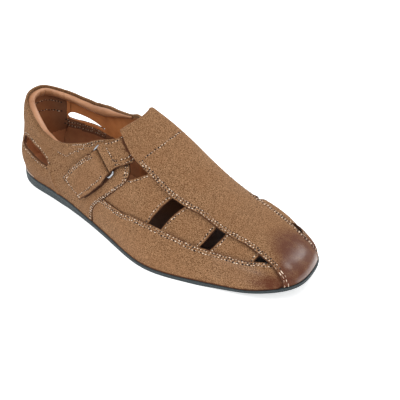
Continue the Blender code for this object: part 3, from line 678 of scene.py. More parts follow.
def last_point(q, t):
    """Point of the last's surface."""
    edge = outline_point(q)
    x = edge[..., 0]
    plan = plan_of(q, t)
    foot = LAST["feather_z"](x)
    rise = np.sin(np.clip(t, 0, 1) * np.pi / 2) ** (2 / LAST["fullness"](x))
    height = (LAST["ridge_z"](plan[..., 0]) - foot) * rise
    outward = unit(edge - spine(x))
    swell = LAST["swell"](x) * bell(height, SWELL_HEIGHT, SWELL_REACH)
    swell = swell * (1 - bell(height, 0, SWELL_START))
    full = MEDIAL_FULLNESS * smooth_step(outward[..., 1], *MEDIAL_FULL_FACE)
    full = full * bell(x, *MEDIAL_FULL_X) * bell(t, *MEDIAL_FULL_T)
    plan = plan + outward * (swell + MEDIAL_FULL_OUT * full)[..., None]
    hem = HEM_DROP(x) * np.clip(1 - height / HEM_REACH, 0, 1) ** 2
    return np.concatenate([plan, (foot + height - hem + MEDIAL_FULL_UP * full)[..., None]], axis=-1)


def place_in_plan(x, y):
    """Station and share t of a plan point in front of the heel, and its share of the way to the outline."""
    middle_y = LAST["ridge_y"](np.clip(x, HEEL_POLE, TOE_POLE))
    pole_y = LAST["ridge_y"](TOE_POLE)
    q_side = np.where(y < middle_y, station(x, "lateral"), station(x, "medial"))
    front = OUTLINE_CURVE[:, 0] >= TOE_POLE
    angles = np.arctan2(OUTLINE_CURVE[front, 1] - pole_y, OUTLINE_CURVE[front, 0] - TOE_POLE)
    q_fan = np.interp(np.arctan2(y - pole_y, x - TOE_POLE), angles, OUTLINE_SHARE[front])
    q = np.where(x > TOE_POLE, q_fan, q_side)
    edge = outline_point(q)
    middle = spine(edge[..., 0])
    reach = np.linalg.norm(edge - middle, axis=-1)
    plan = np.stack([x, y], axis=-1)
    share = np.clip(np.linalg.norm(plan - middle, axis=-1) / reach, 0, 1)
    t = np.arccos(share ** (LAST["fullness"](edge[..., 0]) / 2)) * 2 / np.pi
    return q, t, share


def sink_of(q, t):
    """Dip of the quarters and straps at the instep."""
    x = outline_point(q)[..., 0]
    return SINK * smooth_step(t, *SINK_T) * smooth_step(x, *SINK_X)


def spread(length, marks=(0.0, 1.0), spacing=SPACING):
    """Shares from 0 to 1 of a length, closer together beside the marks, where an edge is rounded."""
    rows = np.array(EDGE_ROWS) / length
    shares = np.linspace(0, 1, int(length / spacing) + 1)
    for mark in marks:
        shares = shares[np.abs(shares - mark) > rows[-1]]
    beside = [mark + side * rows for mark in marks for side in (-1, 1)]
    shares = np.concatenate([shares, *beside])
    shares = shares[(shares >= 0) & (shares <= 1)]
    return np.unique(shares.round(7))


def patch(where, u_shares, v_shares):
    """Grid of places on the last with its points and outward normals."""
    u, v = np.meshgrid(u_shares, v_shares, indexing="ij")
    q, t = where(u, v)
    points = last_point(q, t)
    normal = unit(np.cross(np.gradient(points, axis=0), np.gradient(points, axis=1)))
    level = np.full(points.shape[:-1] + (1,), SWELL_HEIGHT)
    inside = np.concatenate([spine(points[..., 0]), level], axis=-1)
    normal = normal * np.sign(np.sum(normal * (points - inside)))
    return SimpleNamespace(u=u, v=v, q=q, t=t, x=outline_point(q)[..., 0], points=points, normal=normal)


def at_depth(place, depth):
    """Points of a patch at a depth below the last's surface."""
    depth = np.broadcast_to(depth, place.u.shape)
    return place.points - place.normal * depth[..., None]


def to_part(points):
    """Last millimetres to the part's frame in metres."""
    return (np.asarray(points, float) - MIDDLE) * MM


def burnish_of(points):
    """Share of dark polish: over the toe, low on the mudguard's front, and along the medial front."""
    x, y, z = points[..., 0], points[..., 1], points[..., 2]
    stretch = TOE_POLISH_STRETCH[0] - TOE_POLISH_STRETCH[1] * smooth_step(x, *TOE_POLISH_STRETCH_X)
    reach = np.hypot(x - TOE_POLISH_MIDDLE[0], stretch * (y - TOE_POLISH_MIDDLE[1]))
    toe = (1 - smooth_step(reach, *TOE_POLISH_REACH)) * smooth_step(y, *TOE_POLISH_Y)
    guard = GUARD_POLISH * bell(x, *GUARD_POLISH_X) * bell(z, *GUARD_POLISH_Z)
    guard = guard * (1 - smooth_step(y, *GUARD_POLISH_Y))
    medial = MEDIAL_POLISH * smooth_step(y, *MEDIAL_POLISH_Y) * smooth_step(x, *MEDIAL_POLISH_X)
    medial = medial * (1 - smooth_step(z, *MEDIAL_POLISH_Z))
    return np.clip(toe + guard + medial, 0, 1)


def gloss_of(points):
    """Share of wax shine: streaks over the toe and along its rim, and a faint one along the mudguard."""
    shine = np.zeros(points.shape[:-1])
    for start, end, width, share in GLOSS:
        start, end = np.array(start), np.array(end)
        way = end - start
        along = np.clip((points - start) @ way / (way @ way), 0, 1)
        away = np.linalg.norm(points - start - along[..., None] * way, axis=-1)
        shine = np.maximum(shine, share * bell(away, 0, width))
    return shine


def show(obj):
    """Object, put into the scene."""
    bpy.context.scene.collection.objects.link(obj)
    return obj


def new_object(name, vertices, faces, materials, face_materials=None, marks=None):
    """Smooth mesh object from points in last millimetres, with its faces turned outwards."""
    mesh = bpy.data.meshes.new(name)
    mesh.from_pydata(to_part(vertices).tolist(), [], faces)
    for key, values in (marks or {}).items():
        mesh.attributes.new(key, "FLOAT", "POINT").data.foreach_set("value", np.asarray(values, np.float32))
    for made in materials:
        mesh.materials.append(made)
    if face_materials is not None:
        mesh.polygons.foreach_set("material_index", np.asarray(face_materials, np.int32))
    shape = bmesh.new()
    shape.from_mesh(mesh)
    bmesh.ops.remove_doubles(shape, verts=shape.verts, dist=1e-7)
    bmesh.ops.recalc_face_normals(shape, faces=shape.faces)
    shape.to_mesh(mesh)
    shape.free()
    mesh.shade_smooth()
    return show(bpy.data.objects.new(name, mesh))


def rounded(distance, radius):
    """Drop of a surface beside an edge that is rounded to a radius."""
    inside = np.clip(radius - distance, 0, radius)
    return radius - np.sqrt(radius ** 2 - inside ** 2)


def rim_distance(points, rim, used):
    """Distance of the points in use from the middles of the rim's edges, which is 0 on the rim."""
    tree = KDTree(len(rim))
    for i, point in enumerate(0.5 * (points[rim[:, 0]] + points[rim[:, 1]])):
        tree.insert(point, i)
    tree.balance()
    distance = np.full(len(points), EDGE_ROWS[-1])
    distance[used] = [tree.find(points[i])[2] for i in used]
    distance[np.unique(rim)] = 0
    return distance


def sheet(name, outer, inner, finish, linings=(), kinds=None, keep=None, radius=EDGE_ROUND, seams=(),
          shaded=None):
    """Closed leather piece between two grids of points, with rounded edges and grooves under its stitches.

    Kinds gives each cell's lining, counted from 0, or -1 for the finish. Shaded gives the distance from
    an edge that the finish sees at each point, where it differs from the real one, to paint shade in the
    edge's dark tone.
    """
    shape = outer.shape[:2]
    if keep is None:
        keep = np.ones((shape[0] - 1, shape[1] - 1), bool)
    index = np.arange(outer[..., 0].size).reshape(shape)
    corners = (index[:-1, :-1], index[1:, :-1], index[1:, 1:], index[:-1, 1:])
    quads = np.stack([corner[keep] for corner in corners], axis=-1)
    sides = np.concatenate([quads[:, [k, (k + 1) % 4]] for k in range(4)])
    first, count = np.unique(np.sort(sides, axis=1), axis=0, return_index=True, return_counts=True)[1:]
    rim = sides[first[count == 1]]
    skins = [outer.reshape(-1, 3), inner.reshape(-1, 3)]
    across = unit(skins[1] - skins[0])
    used = np.unique(quads)
    distance = rim_distance(skins[0], rim, used)
    drop = rounded(distance, radius)[:, None]
    groove = sum(GROOVE_OF_STITCHES * bell(distance, seam, GROOVE_OF_STITCHES_WIDTH) for seam in seams)
    skins[0] = skins[0] + across * (drop + np.broadcast_to(groove, distance.shape)[:, None])
    skins[1] = skins[1] - across * drop
    number = np.full(len(distance), -1)
    number[used] = np.arange(len(used))
    lower = len(used)
    faces = number[quads].tolist() + (number[quads][:, ::-1] + lower).tolist()
    a, b = number[rim[:, 0]], number[rim[:, 1]]
    faces += np.stack([b, a, a + lower, b + lower], axis=1).tolist()
    vertices = np.concatenate([skin[used] for skin in skins])
    seen = distance if shaded is None else np.where(np.isnan(shaded.ravel()), distance, shaded.ravel())
    marks = {"edge": np.tile(seen[used], 2), "burnish": burnish_of(vertices), "gloss": gloss_of(vertices)}
    inner_kinds = np.full(keep.shape, min(len(linings), 1)) if kinds is None else kinds + 1
    face_materials = [0] * len(quads) + inner_kinds[keep].tolist() + [0] * len(rim)
    obj = new_object(name, vertices, faces, [finish, *linings], face_materials, marks)
    outer, inner = [skin.reshape(outer.shape) for skin in skins]
    return SimpleNamespace(obj=obj, outer=outer, inner=inner, normal=unit(outer - inner))


def inset_row(made, edge, inset, start=0.0, end=1.0):
    """Points and normals of a row at a distance inside one edge of a sheet: u0, u1, v0 or v1."""
    points, normal = made.outer, made.normal
    if edge[0] == "u":
        points, normal = points.swapaxes(0, 1), normal.swapaxes(0, 1)
    if edge[1] == "1":
        points, normal = points[:, ::-1], normal[:, ::-1]
    last = len(points) - 1
    places = range(int(round(start * last)), int(round(end * last)) + 1)
    lines = [between(inset, lengths_along(points[i]), np.hstack([points[i], normal[i]])) for i in places]
    row = np.array(lines)
    return row[:, :3], unit(row[:, 3:])


def add_node(tree, kind, inputs=None, **settings):
    """Node with its settings and inputs, where a socket is linked and anything else is the input's value."""
    node = tree.nodes.new(kind)
    for name, value in settings.items():
        setattr(node, name, value)
    for name, value in (inputs or {}).items():
        if isinstance(value, bpy.types.NodeSocket):
            tree.links.new(value, node.inputs[name])
        else:
            node.inputs[name].default_value = value
    return node


def feed(tree, node, **sockets):
    """Link sockets to a node's inputs, named with low lines for spaces."""
    for label, socket in sockets.items():
        tree.links.new(socket, node.inputs[label.replace("_", " ")])


def mix_colours(tree, factor, first, second, blend="MIX"):
    """Colour between two colours."""
    inputs = {0: factor, 6: first, 7: second}
    return add_node(tree, "ShaderNodeMix", inputs, data_type="RGBA", blend_type=blend).outputs[2]


def remap(tree, value, low, high, to_low=0.0, to_high=1.0):
    """Value moved from one range to another, softly at both ends."""
    inputs = {"Value": value, "From Min": low, "From Max": high, "To Min": to_low, "To Max": to_high}
    return add_node(tree, "ShaderNodeMapRange", inputs, interpolation_type="SMOOTHSTEP").outputs["Result"]


def two_tones(tree, value, low, high, tones):
    """Colour that runs from the first tone to the second as a value runs from low to high."""
    return mix_colours(tree, remap(tree, value, low, high), *tones)


def calculate(tree, operation, first, second):
    """Result of one operation on two values or sockets."""
    return add_node(tree, "ShaderNodeMath", {0: first, 1: second}, operation=operation).outputs[0]


def own_place(tree):
    """The piece's own coordinates, in metres."""
    return add_node(tree, "ShaderNodeTexCoord").outputs["Object"]


def own_x(tree):
    """Place along the shoe, in metres."""
    return add_node(tree, "ShaderNodeSeparateXYZ", {0: own_place(tree)}).outputs["X"]


def noise(tree, scale, detail=2.0, roughness=0.5, stretch=None):
    """Noise on the piece's own coordinates, with a scale in waves to the metre."""
    place = own_place(tree)
    if stretch is not None:
        place = add_node(tree, "ShaderNodeMapping", {"Vector": place, "Scale": stretch}).outputs["Vector"]
    inputs = {"Vector": place, "Scale": scale, "Detail": detail, "Roughness": roughness}
    return add_node(tree, "ShaderNodeTexNoise", inputs).outputs[0]


def attribute(tree, name):
    """Value that a sheet's points carry."""
    return add_node(tree, "ShaderNodeAttribute", attribute_name=name).outputs["Fac"]


def shader_group(name, inputs, outputs):
    """Empty shader node group with named sockets, and its two ends."""
    tree = bpy.data.node_groups.new(name, "ShaderNodeTree")
    for label, value in inputs.items():
        tree.interface.new_socket(label, in_out="INPUT", socket_type="NodeSocketFloat").default_value = value
    for label in outputs:
        tree.interface.new_socket(label, in_out="OUTPUT", socket_type="NodeSocketFloat")
    return tree, add_node(tree, "NodeGroupInput"), add_node(tree, "NodeGroupOutput")


def nap_group():
    """Mottled grain, soft clouds and fibre height of brushed leather."""
    tree, start, end = shader_group("brushed nap", NAP_SCALES, ("Grain", "Cloud", "Height"))
    grain = noise(tree, start.outputs["Grain Scale"], roughness=0.7)
    cloud = noise(tree, start.outputs["Cloud Scale"])
    fibre = noise(tree, FIBRE_SCALE, roughness=0.6)
    long_nap = calculate(tree, "MULTIPLY", grain, 0.6)
    height = calculate(tree, "ADD", long_nap, calculate(tree, "MULTIPLY", fibre, 0.4))
    mottle = remap(tree, grain, 0.448, 0.562)
    feed(tree, end, Grain=mottle, Cloud=remap(tree, cloud, 0.3, 0.7), Height=height)
    return tree


def grain_group():
    """Pores and fine wrinkles of smooth leather."""
    tree, start, end = shader_group("leather grain", {"Pore Scale": 900.0}, ("Tone", "Height"))
    inputs = {"Vector": own_place(tree), "Scale": start.outputs["Pore Scale"]}
    pores = add_node(tree, "ShaderNodeTexVoronoi", inputs, feature="DISTANCE_TO_EDGE").outputs["Distance"]
    tone = noise(tree, 70.0, detail=3.0, roughness=0.55)
    feed(tree, end, Tone=remap(tree, tone, 0.3, 0.7), Height=remap(tree, pores, 0.0, 0.25))
    return tree


def edge_group():
    """Mask that is 1 on a cut edge and fades to 0 inside it, unevenly; where a sheet gives a short edge
    distance it paints shade.
    """
    tree, start, end = shader_group("edge wear and painted shade", {"Width": 1.0}, ("Mask",))
    uneven = remap(tree, noise(tree, 260.0), 0.3, 0.7, 0.6, 1.4)
    reach = calculate(tree, "MULTIPLY", start.outputs["Width"], uneven)
    share = calculate(tree, "DIVIDE", attribute(tree, "edge"), reach)
    feed(tree, end, Mask=remap(tree, share, 0.25, 1.0, 1.0, 0.0))
    return tree


NAP = nap_group()
GRAIN = grain_group()
EDGE_WEAR_AND_SHADE = edge_group()


def use_group(tree, group, inputs=None):
    """Outputs of a shader group that is placed in a material with its own values."""
    node = add_node(tree, "ShaderNodeGroup")
    node.node_tree = group
    for name, value in (inputs or {}).items():
        node.inputs[name].default_value = value
    return node.outputs


def new_material(name, **values):
    """Material with a Principled shader whose plain inputs are given by name."""
    made = bpy.data.materials.new(name)
    made.use_nodes = True
    shader = made.node_tree.nodes["Principled BSDF"]
    for label, value in values.items():
        shader.inputs[label.replace("_", " ")].default_value = value
    return made, made.node_tree, shader


def bump(tree, shader, height, strength, depth):
    """Fine relief of a material, with its depth in millimetres."""
    inputs = {"Strength": strength, "Distance": depth * MM, "Height": height}
    feed(tree, shader, Normal=add_node(tree, "ShaderNodeBump", inputs).outputs["Normal"])


def nubuck_material():
    """Brushed brown leather, dark along its cut edges and polished dark at the toe, with shade painted in
    the edges' dark tone, and painted shade that darkens it towards the heel.
    """
    sheen = {"Sheen_Weight": 0.08, "Sheen_Roughness": 0.5, "Sheen_Tint": NUBUCK_SHEEN}
    made, tree, shader = new_material("nubuck", Coat_Roughness=0.2, Specular_IOR_Level=0.12, **sheen)
    nap = use_group(tree, NAP)
    worn_and_shaded = use_group(tree, EDGE_WEAR_AND_SHADE, {"Width": 0.95})["Mask"]
    colour = mix_colours(tree, nap["Grain"], NUBUCK_DARK, NUBUCK_LIGHT)
    colour = mix_colours(tree, calculate(tree, "MULTIPLY", nap["Cloud"], CLOUD_SHARE), colour, NUBUCK_CLOUD)
    uneven = remap(tree, noise(tree, 150.0, detail=3.0), 0.25, 0.6, 0.7, 1.0)
    polish = calculate(tree, "MULTIPLY", attribute(tree, "burnish"), uneven)
    left_grain = calculate(tree, "MULTIPLY", nap["Grain"], POLISH_GRAIN)
    polish_tone = mix_colours(tree, left_grain, NUBUCK_POLISH, NUBUCK_DARK)
    colour = mix_colours(tree, calculate(tree, "MULTIPLY", polish, POLISH_SHARE), colour, polish_tone)
    # Dark tone of rubbed cut edges, which also paints shade under and beside the straps, along the lower
    # edge and on the straps' lower runs.
    colour = mix_colours(tree, calculate(tree, "MULTIPLY", worn_and_shaded, EDGE_AND_SHADE_SHARE), colour, NUBUCK_EDGE_AND_SHADE)
    # Painted shade that darkens the nubuck towards the heel.
    rear = remap(tree, own_x(tree), *REAR_X, REAR_PAINTED_SHADE, 0.0)
    colour = mix_colours(tree, rear, colour, REAR_SHADE_TONE, "MULTIPLY")
    gloss = attribute(tree, "gloss")
    rough = remap(tree, polish, 0.0, 1.0, 0.95, 0.6)
    feed(tree, shader, Base_Color=colour, Roughness=rough, Coat_Weight=gloss)
    smoothed = remap(tree, gloss, 0.05, 0.45, 1.0, 0.25)
    bump(tree, shader, calculate(tree, "MULTIPLY", nap["Height"], smoothed), strength=0.5, depth=0.35)
    return made


def smooth_leather(name, dark, light, roughness, pore_scale, shades):
    """Smooth leather with pores and a soft change of tone, in deep shade along parts of the shoe, and darker
    at rubbed edges and where a short edge distance paints shade.
    """
    made, tree, shader = new_material(name, Specular_IOR_Level=0.45)
    grain = use_group(tree, GRAIN, {"Pore Scale": pore_scale})
    worn_and_shaded = use_group(tree, EDGE_WEAR_AND_SHADE, {"Width": 1.2})["Mask"]
    colour = mix_colours(tree, grain["Tone"], dark, light)
    colour = mix_colours(tree, calculate(tree, "MULTIPLY", worn_and_shaded, 0.5), colour, dark)
    for start, full, share in shades:
        colour = mix_colours(tree, remap(tree, own_x(tree), start, full, 0.0, share), colour, DEEP_SHADE)
    rough = remap(tree, grain["Tone"], 0.0, 1.0, roughness + 0.08, roughness - 0.06)
    feed(tree, shader, Base_Color=colour, Roughness=rough)
    bump(tree, shader, grain["Height"], strength=0.35, depth=0.12)
    return made


def rubber_material():
    """Matt blue-grey rubber with a fine speckle and a little dust."""
    made, tree, shader = new_material("sole_rubber", Specular_IOR_Level=0.4)
    speck = remap(tree, noise(tree, 1500.0, roughness=0.6), 0.35, 0.65)
    dust = remap(tree, noise(tree, 60.0, detail=4.0, roughness=0.6), 0.5, 0.8, 0.0, 0.35)
    colour = mix_colours(tree, dust, mix_colours(tree, speck, *RUBBER_TONES), RUBBER_DUST)
    feed(tree, shader, Base_Color=colour, Roughness=remap(tree, speck, 0.0, 1.0, 0.66, 0.5))
    bump(tree, shader, speck, strength=0.25, depth=0.08)
    return made


def thread_material():
    """Beige sewing thread with a twist."""
    made, tree, shader = new_material("thread", Roughness=0.7, Sheen_Weight=0.3)
    feed(tree, shader, Base_Color=two_tones(tree, noise(tree, 420.0), 0.35, 0.65, THREAD_TONES))
    bump(tree, shader, noise(tree, 5200.0, detail=1.0), strength=0.6, depth=0.1)
    return made


def needle_hole_material():
    """Near-black tone of a needle hole, painted shade inside the hole."""
    made, tree, shader = new_material("needle_hole", Roughness=0.95)
    feed(tree, shader, Base_Color=two_tones(tree, noise(tree, 700.0), 0.35, 0.65, NEEDLE_HOLE_SHADE_TONES))
    return made


def ring_material():
    """Satin nickel wire with fine brush marks."""
    made, tree, shader = new_material("ring_wire", Metallic=1.0)
    marks = noise(tree, 900.0, detail=3.0, roughness=0.7, stretch=(1.0, 4.0, 1.0))
    colour = two_tones(tree, marks, 0.35, 0.65, WIRE_TONES)
    feed(tree, shader, Base_Color=colour, Roughness=remap(tree, marks, 0.3, 0.7, 0.22, 0.4))
    bump(tree, shader, marks, strength=0.2, depth=0.03)
    return made


def hook_material():
    """Hook tape under the tab, near black so that its side also paints the shade in the gap under the tab's
    lower edge.
    """
    made, tree, shader = new_material("hook_tape_and_shade", Roughness=0.85)
    inputs = {"Vector": own_place(tree), "Scale": 1100.0}
    hooks = add_node(tree, "ShaderNodeTexVoronoi", inputs).outputs["Distance"]
    feed(tree, shader, Base_Color=two_tones(tree, hooks, 0.1, 0.7, HOOK_AND_SHADE_TONES))
    bump(tree, shader, hooks, strength=0.8, depth=0.5)
    return made


def strip_patch():
    """Map of the centre strip, from the loop's fold to the toe and from the lateral to the medial edge."""
    rows = np.arange(len(STRIP))
    edges = {}
    for side in ("lateral", "medial"):
        q = station(np.array(STRIP_EDGES[side + "_x"], float), side)
        plan = plan_of(q, np.array(STRIP_EDGES[side + "_t"], float))
        edges[side] = [smooth_curve(rows, plan[:, k]) for k in range(2)]

    def where(u, v):
        row = u * (len(STRIP) - 1)
        lateral, medial = [np.stack([curve(row) for curve in pair], axis=-1) for pair in edges.values()]
        plan = lateral + (medial - lateral) * v[..., None]
        bow = FOLD_BOW * (1 - smooth_step(row, 0, FOLD_BOW_ROWS))
        x = plan[..., 0] + bow * 4 * v * (1 - v)
        q, _, share = place_in_plan(x, plan[..., 1])
        end_shares = [place_in_plan(edge[..., 0], edge[..., 1])[2] for edge in (lateral, medial)]
        level = end_shares[0] + (end_shares[1] - end_shares[0]) * v
        round_share = share + (level - share) * smooth_step(u, TOE_ROUND_FROM, 1)
        fullness = LAST["fullness"](outline_point(q)[..., 0])
        return q, np.arccos(np.clip(round_share, 0, 1) ** (fullness / 2)) * 2 / np.pi

    return where


def make_strip(rows_of_stitches, rows_at_toe):
    """Centre strip: its under layer at the instep, the fold, and the top down to the toe."""
    where = strip_patch()
    last_row = len(STRIP) - 1
    v_shares = spread(STRIP_WIDTH)
    top_shares = spread(STRIP_LENGTH, marks=(1.0,))
    top = patch(where, top_shares, v_shares)
    lift = LOOP_LIFT * (1 - smooth_step(top.u * last_row, 0, LOOP_LIFT_ROWS))
    top.points = at_depth(top, -lift)
    under = patch(where, np.linspace(LOOP_END_ROW / last_row, 0, LOOP_STEPS), v_shares)
    forward = unit(top.points[1] - top.points[0])
    radius = (LOOP_UNDER + LOOP_LIFT) / 2
    centre = top.points[0] - top.normal[0] * radius
    turns = np.linspace(np.pi, 0, LOOP_STEPS)[1:-1]
    bends = [np.cos(turn) * top.normal[0] - np.sin(turn) * forward for turn in turns]
    skins = []
    for depth_in in (0.0, STRIP_DEPTH[1] - STRIP_DEPTH[0]):
        fold = np.array([centre + (radius - depth_in) * bend for bend in bends])
        below = at_depth(under, LOOP_UNDER - depth_in)
        skins.append(np.concatenate([below, fold, at_depth(top, STRIP_DEPTH[0] + depth_in)]))
    made = sheet("centre_strip", *skins, NUBUCK, (VAMP_LINING,), seams=DOUBLE_ROW)
    first = LOOP_STEPS + len(turns)
    made.outer = made.outer[first:]
    made.normal = made.normal[first:]
    seam_from = STRIP_SEWN_ROW / last_row
    for inset in DOUBLE_ROW:
        rows_of_stitches.append(inset_row(made, "v0", inset, seam_from, TOE_SEAM))
        rows_of_stitches.append(inset_row(made, "v1", inset, seam_from, 1.0))
        rows_at_toe.append(inset_row(made, "v0", inset, TOE_SEAM + TOE_SEAM_BREAK, 1.0))
    across = int(np.argmin(np.abs(top_shares - seam_from)))
    ends = slice(*np.searchsorted(v_shares, STRIP_CROSS_ENDS))
    rows_of_stitches.append((made.outer[across, ends], made.normal[across, ends]))
    return made.obj


def make_guard(side, rows_of_stitches):
    """Mudguard of one side, from under the quarter to under the strip at the toe."""
    top = smooth_curve(GUARD_TOPS["x"], GUARD_TOPS[side + "_t"])
    ends = station(np.array([GUARD_REAR_X, GUARD_TOE_X[side]]), side)

    def where(u, v):
        q = ends[0] + (ends[1] - ends[0]) * u
        return q, v * top(outline_point(q)[..., 0])

    place = patch(where, spread(GUARD_LENGTH), spread(GUARD_HEIGHT))
    quarter_x = FRONT_X(place.t)
    toe_rows = slice(None, -GUARD_TOE_ROWS - 1, -1)
    toe_t, toe_x = [np.array(STRIP_EDGES[side + name][toe_rows], float) for name in ("_t", "_x")]
    strip_x = np.interp(place.t, toe_t, toe_x)
    tuck = 1 - smooth_step(place.x, quarter_x + GUARD_TUCK_REAR[0], quarter_x + GUARD_TUCK_REAR[1])
    tuck = tuck + smooth_step(place.x, strip_x + GUARD_TUCK_TOE[0], strip_x + GUARD_TUCK_TOE[1])
    depth = GUARD_DEPTH[0] + GUARD_TUCK * tuck
    outer = at_depth(place, depth)
    inner = at_depth(place, depth + GUARD_DEPTH[1] - GUARD_DEPTH[0])
    kinds = np.where(place.x[1:, 1:] < THROAT_LINING_X, 1, 0)
    made = sheet("mudguard_" + side, outer, inner, NUBUCK, (VAMP_LINING, LINING), kinds, seams=DOUBLE_ROW,
                 shaded=hem_shade(place, outer))
    for inset in DOUBLE_ROW:
        rows_of_stitches.append(inset_row(made, "v1", inset, *GUARD_ROW_ENDS))
    return made.obj


def make_panel(number, row, rows_of_stitches):
    """Cross panel between two windows, sewn under the strip and the mudguard."""
    panel = dict(zip(PANEL_COLUMNS, row))
    side = panel["side"]
    foot = smooth_curve(GUARD_TOPS["x"], GUARD_TOPS[side + "_t"])
    top = smooth_curve(*[STRIP_EDGES[side + name][:-PANEL_TOE_ROWS] for name in ("_x", "_t")])
    edges = [panel[name] for name in PANEL_COLUMNS[1:]]
    rear, front = [smooth_curve(np.linspace(0, 1, len(edge)), edge) for edge in edges]

    def where(u, v):
        x = rear(v) + (front(v) - rear(v)) * u
        low = foot(x) - PANEL_FOOT_UNDER
        high = top(x) + PANEL_TOP_UNDER
        return station(x, side), low + (high - low) * v

    place = patch(where, spread(PANEL_SIZE), spread(PANEL_SIZE))
    puff = PANEL_PUFF[side] * smooth_step(place.v, *PANEL_PUFF_RISE)
    puff = puff * (1 - smooth_step(place.v, *PANEL_PUFF_FALL))
    outer, inner = [at_depth(place, depth - puff) for depth in PANEL_DEPTH]
    made = sheet("panel_%s_%d" % (side, number), outer, inner, NUBUCK, (VAMP_LINING,), seams=SINGLE_ROW)
    for edge, inset in PANEL_ROWS:
        rows_of_stitches.append(inset_row(made, edge, inset, *PANEL_ROW_ENDS))
    return made.obj


def quarter_maps():
    """Map of the quarters, from the lateral front edge round the heel, the share u of a station, and the
    collar's share t over u.
    """
    collar_x = np.array(COLLAR_LINES["x"], float)
    stations = np.concatenate([station(collar_x[:0:-1], "medial"), station(collar_x, "lateral")])
    stations[len(collar_x) - 1] = 0
    collar_t = smooth_curve(stations, COLLAR_LINES["medial_t"][:0:-1] + COLLAR_LINES["lateral_t"])
    top_t = FRONT_LINE["t"][-1]

    def sides(v):
        front = FRONT_X(v * top_t)
        return station(front, "lateral"), station(front, "medial")

    ends = sides(1.0)

    def height_of(u):
        return collar_t(ends[0] + (ends[1] - ends[0]) * u)

    def where(u, v):
        lateral, medial = sides(v)
        return lateral + (medial - lateral) * u, v * height_of(u)

    def share_of(q):
        lateral, medial = sides(SLOT_LEVEL)
        return (q - lateral) / (medial - lateral)

    return where, share_of, height_of


def slot_limits(share_of, height_of):
    """Columns of the two slots, and heights of their lower and upper edges over the quarters' columns."""
    columns = {}
    edges = {name: [(0.0, far), (1.0, far)] for name, far in SLOT_FAR.items()}
    for side, rows in SLOTS.items():
        table = columns_of(rows, SLOT_COLUMNS)
        u = share_of(station(np.array(table["x"], float), side))
        columns[side] = (u.min(), u.max())
        for name in edges:
            edges[name] += list(zip(u, np.array(table[name]) / height_of(u)))
    return columns, [smooth_curve(*zip(*sorted(points))) for points in edges.values()]


def quarter_relief(place):
    """Depth of the quarters' soft forms: puffed collar, the seam under it and the counter's ridge."""
    seam_t = SEAM_T(place.x)
    seam_start = SEAM_LINE["x"][0]
    along = smooth_step(place.x, seam_start + COLLAR_SEAM_FADE[0], seam_start + COLLAR_SEAM_FADE[1])
    along = along * (1 - smooth_step(place.x, *COLLAR_SEAM_END_X))
    trough = COLLAR_SEAM_DEPTH * bell(place.t, seam_t, COLLAR_SEAM_WIDTH) * along
    puff = COLLAR_PUFF * smooth_step(place.t, seam_t, seam_t + COLLAR_PUFF_RISE)
    puff = puff * (1 - smooth_step(place.v, *COLLAR_PUFF_TOP))
    puff = puff * (1 - smooth_step(place.x, *COLLAR_PUFF_END_X))
    ridge_x = np.interp(place.t, (0, COUNTER_RIDGE_TOP), COUNTER_RIDGE_X)
    ridge = COUNTER_RIDGE * bell(place.x, ridge_x, COUNTER_RIDGE_WIDTH)
    fade = [COUNTER_RIDGE_TOP + reach for reach in COUNTER_RIDGE_FADE]
    return trough - puff - ridge * (1 - smooth_step(place.t, *fade))


def hem_shade(place, outer):
    """Painted shade along the lower edge, between the upper and the sole, which is wider under the heel's
    lip, as a distance from an edge that the finish sees.
    """
    steps = np.linalg.norm(np.diff(outer, axis=1), axis=-1)
    height = np.concatenate([np.zeros((len(outer), 1)), np.cumsum(steps, axis=1)], axis=1)
    dark = HEM_SHADE + LIP_SHADE * (1 - smooth_step(place.x, LIP_X[0] - LIP_SHADE_FADE, LIP_X[0]))
    return np.where(height < dark + EDGE_ROWS[-1], np.maximum(height - dark, 0), np.nan)


def strap_shade(place):
    """Painted shade on the quarters under the straps, just in front of them and behind the tab's rear edge,
    as a distance from an edge that the finish sees.
    """
    rear_x, rear_t, front_x, front_t = np.array(CLOSURE)[::-1].T
    before = place.x - np.interp(place.t, front_t, front_x)
    behind = place.x - np.interp(place.t, rear_t, rear_x)
    level = (place.q > 0) & (place.t > front_t[0]) & (place.t < rear_t[-1])
    tab = level & (behind > SHADE_INSIDE)
    rear_edge = level & (behind < SHADE_INSIDE) & (behind > -HIDDEN_BEHIND - SHADE_BEHIND)
    rear_x, rear_y, front_x, front_y = np.array(STRAP)[-SHADE_STRAP_ROWS:][::-1].T
    x, y = place.points[..., 0], place.points[..., 1]
    strap_before = x - np.interp(y, front_y, front_x)
    strap = (x > np.interp(y, rear_y, rear_x) + SHADE_INSIDE) & (y > front_y[0]) & (y < front_y[-1])
    before = np.where(strap, np.minimum(strap_before, np.where(tab, before, np.inf)), before)
    seen = np.clip(np.where(rear_edge, -behind - HIDDEN_BEHIND, before) * UNDER_EDGE, 0, None)
    return np.where((tab | strap | rear_edge) & (seen < EDGE_ROWS[-1]), seen, np.nan)


